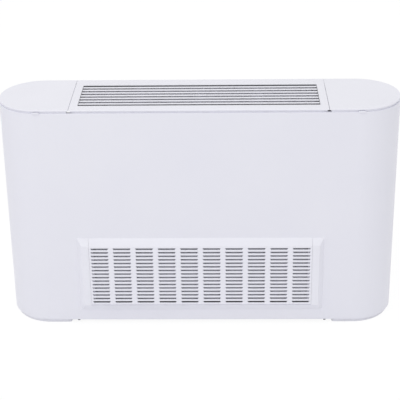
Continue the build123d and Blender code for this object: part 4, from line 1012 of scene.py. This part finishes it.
def bend(bm, first, second, ahead):
    """A half-round bend between two tube ends, with a collar at each."""
    middle = (first + second) / 2
    half = (second - first).length / 2
    out = Vector((ahead, 0, 0))
    path = [first]
    for step in range(BEND_STEPS + 1):
        turn = math.pi * step / BEND_STEPS
        path.append(middle + out * (BEND_RUN + half * math.sin(turn)) + (first - middle) * math.cos(turn))
    path.append(second)
    tube_along(bm, path, TUBE_RADIUS)
    for end in (first, second):
        bar(bm, end, end + out * (BEND_RUN - 1), TUBE_RADIUS + COLLAR, 20)


bm = bmesh.new()
for number in range(6):
    bend(bm, tube_place(PLATE_X, 0, number), tube_place(PLATE_X, 1, number), 1)
bmesh.ops.recalc_face_normals(bm, faces=bm.faces[:])
piece("return_bend_tubes", bm, copper, "chassis", ["return_bends"], sharp_angle=50)

bm = bmesh.new()
for number in (0, 2, 4):
    bend(bm, tube_place(-PLATE_X, 1, number), tube_place(-PLATE_X, 0, number + 1), -1)
bmesh.ops.recalc_face_normals(bm, faces=bm.faces[:])
piece("crossover_bend_tubes", bm, copper, "chassis", ["crossover_bends"], sharp_angle=50)

for row, node, outlet in ((0, "supply_header", -96.0), (1, "return_header", 56.0)):
    bm = bmesh.new()
    across, shift = (row - 0.5) * ROW_PITCH, (2 * row - 1) * HEADER_SHIFT
    ends = [coil_point(HEADER_X, across, shift + side * HEADER_LENGTH / 2) for side in (-1, 1)]
    header = bar(bm, *ends, HEADER_RADIUS, 32)
    caps = [e for e in set(e for v in header for e in v.link_edges)
            if len(e.link_faces) == 2 and e.calc_face_angle(0) > 1]
    round_edges(bm, caps, 2.5)
    for number in range(row, 6, 2):
        stub = tube_place(0, row, number)
        bar(bm, (HEADER_X, stub.y, stub.z), (-PLATE_X, stub.y, stub.z), TUBE_RADIUS)
        bar(bm, (HEADER_X + HEADER_RADIUS - 1, stub.y, stub.z), (HEADER_X + HEADER_RADIUS + 2, stub.y, stub.z),
            TUBE_RADIUS + 1.6, 24, TUBE_RADIUS + 0.3)
    away = coil_point(HEADER_X, across, outlet)
    bar(bm, away, (HEADER_X, OUTLET_END_Y, away.z), OUTLET_RADIUS, 28)
    piece(node + "_tubes", bm, copper, "chassis", [node], sharp_angle=40)

# %% [markdown]
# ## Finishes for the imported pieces
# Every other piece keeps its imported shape. Its finish follows the material that the piece is made of in
# the frame, so one table turns each kind of stock into its material, and a bevel modifier could be added
# later without touching the table.

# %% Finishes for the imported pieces
FINISH = {
    "casing_paint": powder_coat, "cover_paint": moulded_abs, "grille_white": moulded_abs,
    "foot_plastic": foot_abs, "filter_plastic": frame_pp, "filter_cloth": filter_net,
    "galvanised": galvanised, "zinc_steel": zinc_plate, "fan_plastic": wheel_plastic,
    "motor_enamel": motor_enamel, "ring_rubber": nitrile, "fin_aluminium": fin_foil, "copper": copper,
    "brass": brass, "foam": foam, "tray_plastic": black_pp, "electrical_plastic": nylon_66,
    "capacitor_can": drawn_can,
}
for subpart in frame["record"]["subparts"]:
    packed = frame["nodes"][subpart["node"]]
    packed.data.materials.clear()
    packed.data.materials.append(FINISH[subpart["material_slot"]])
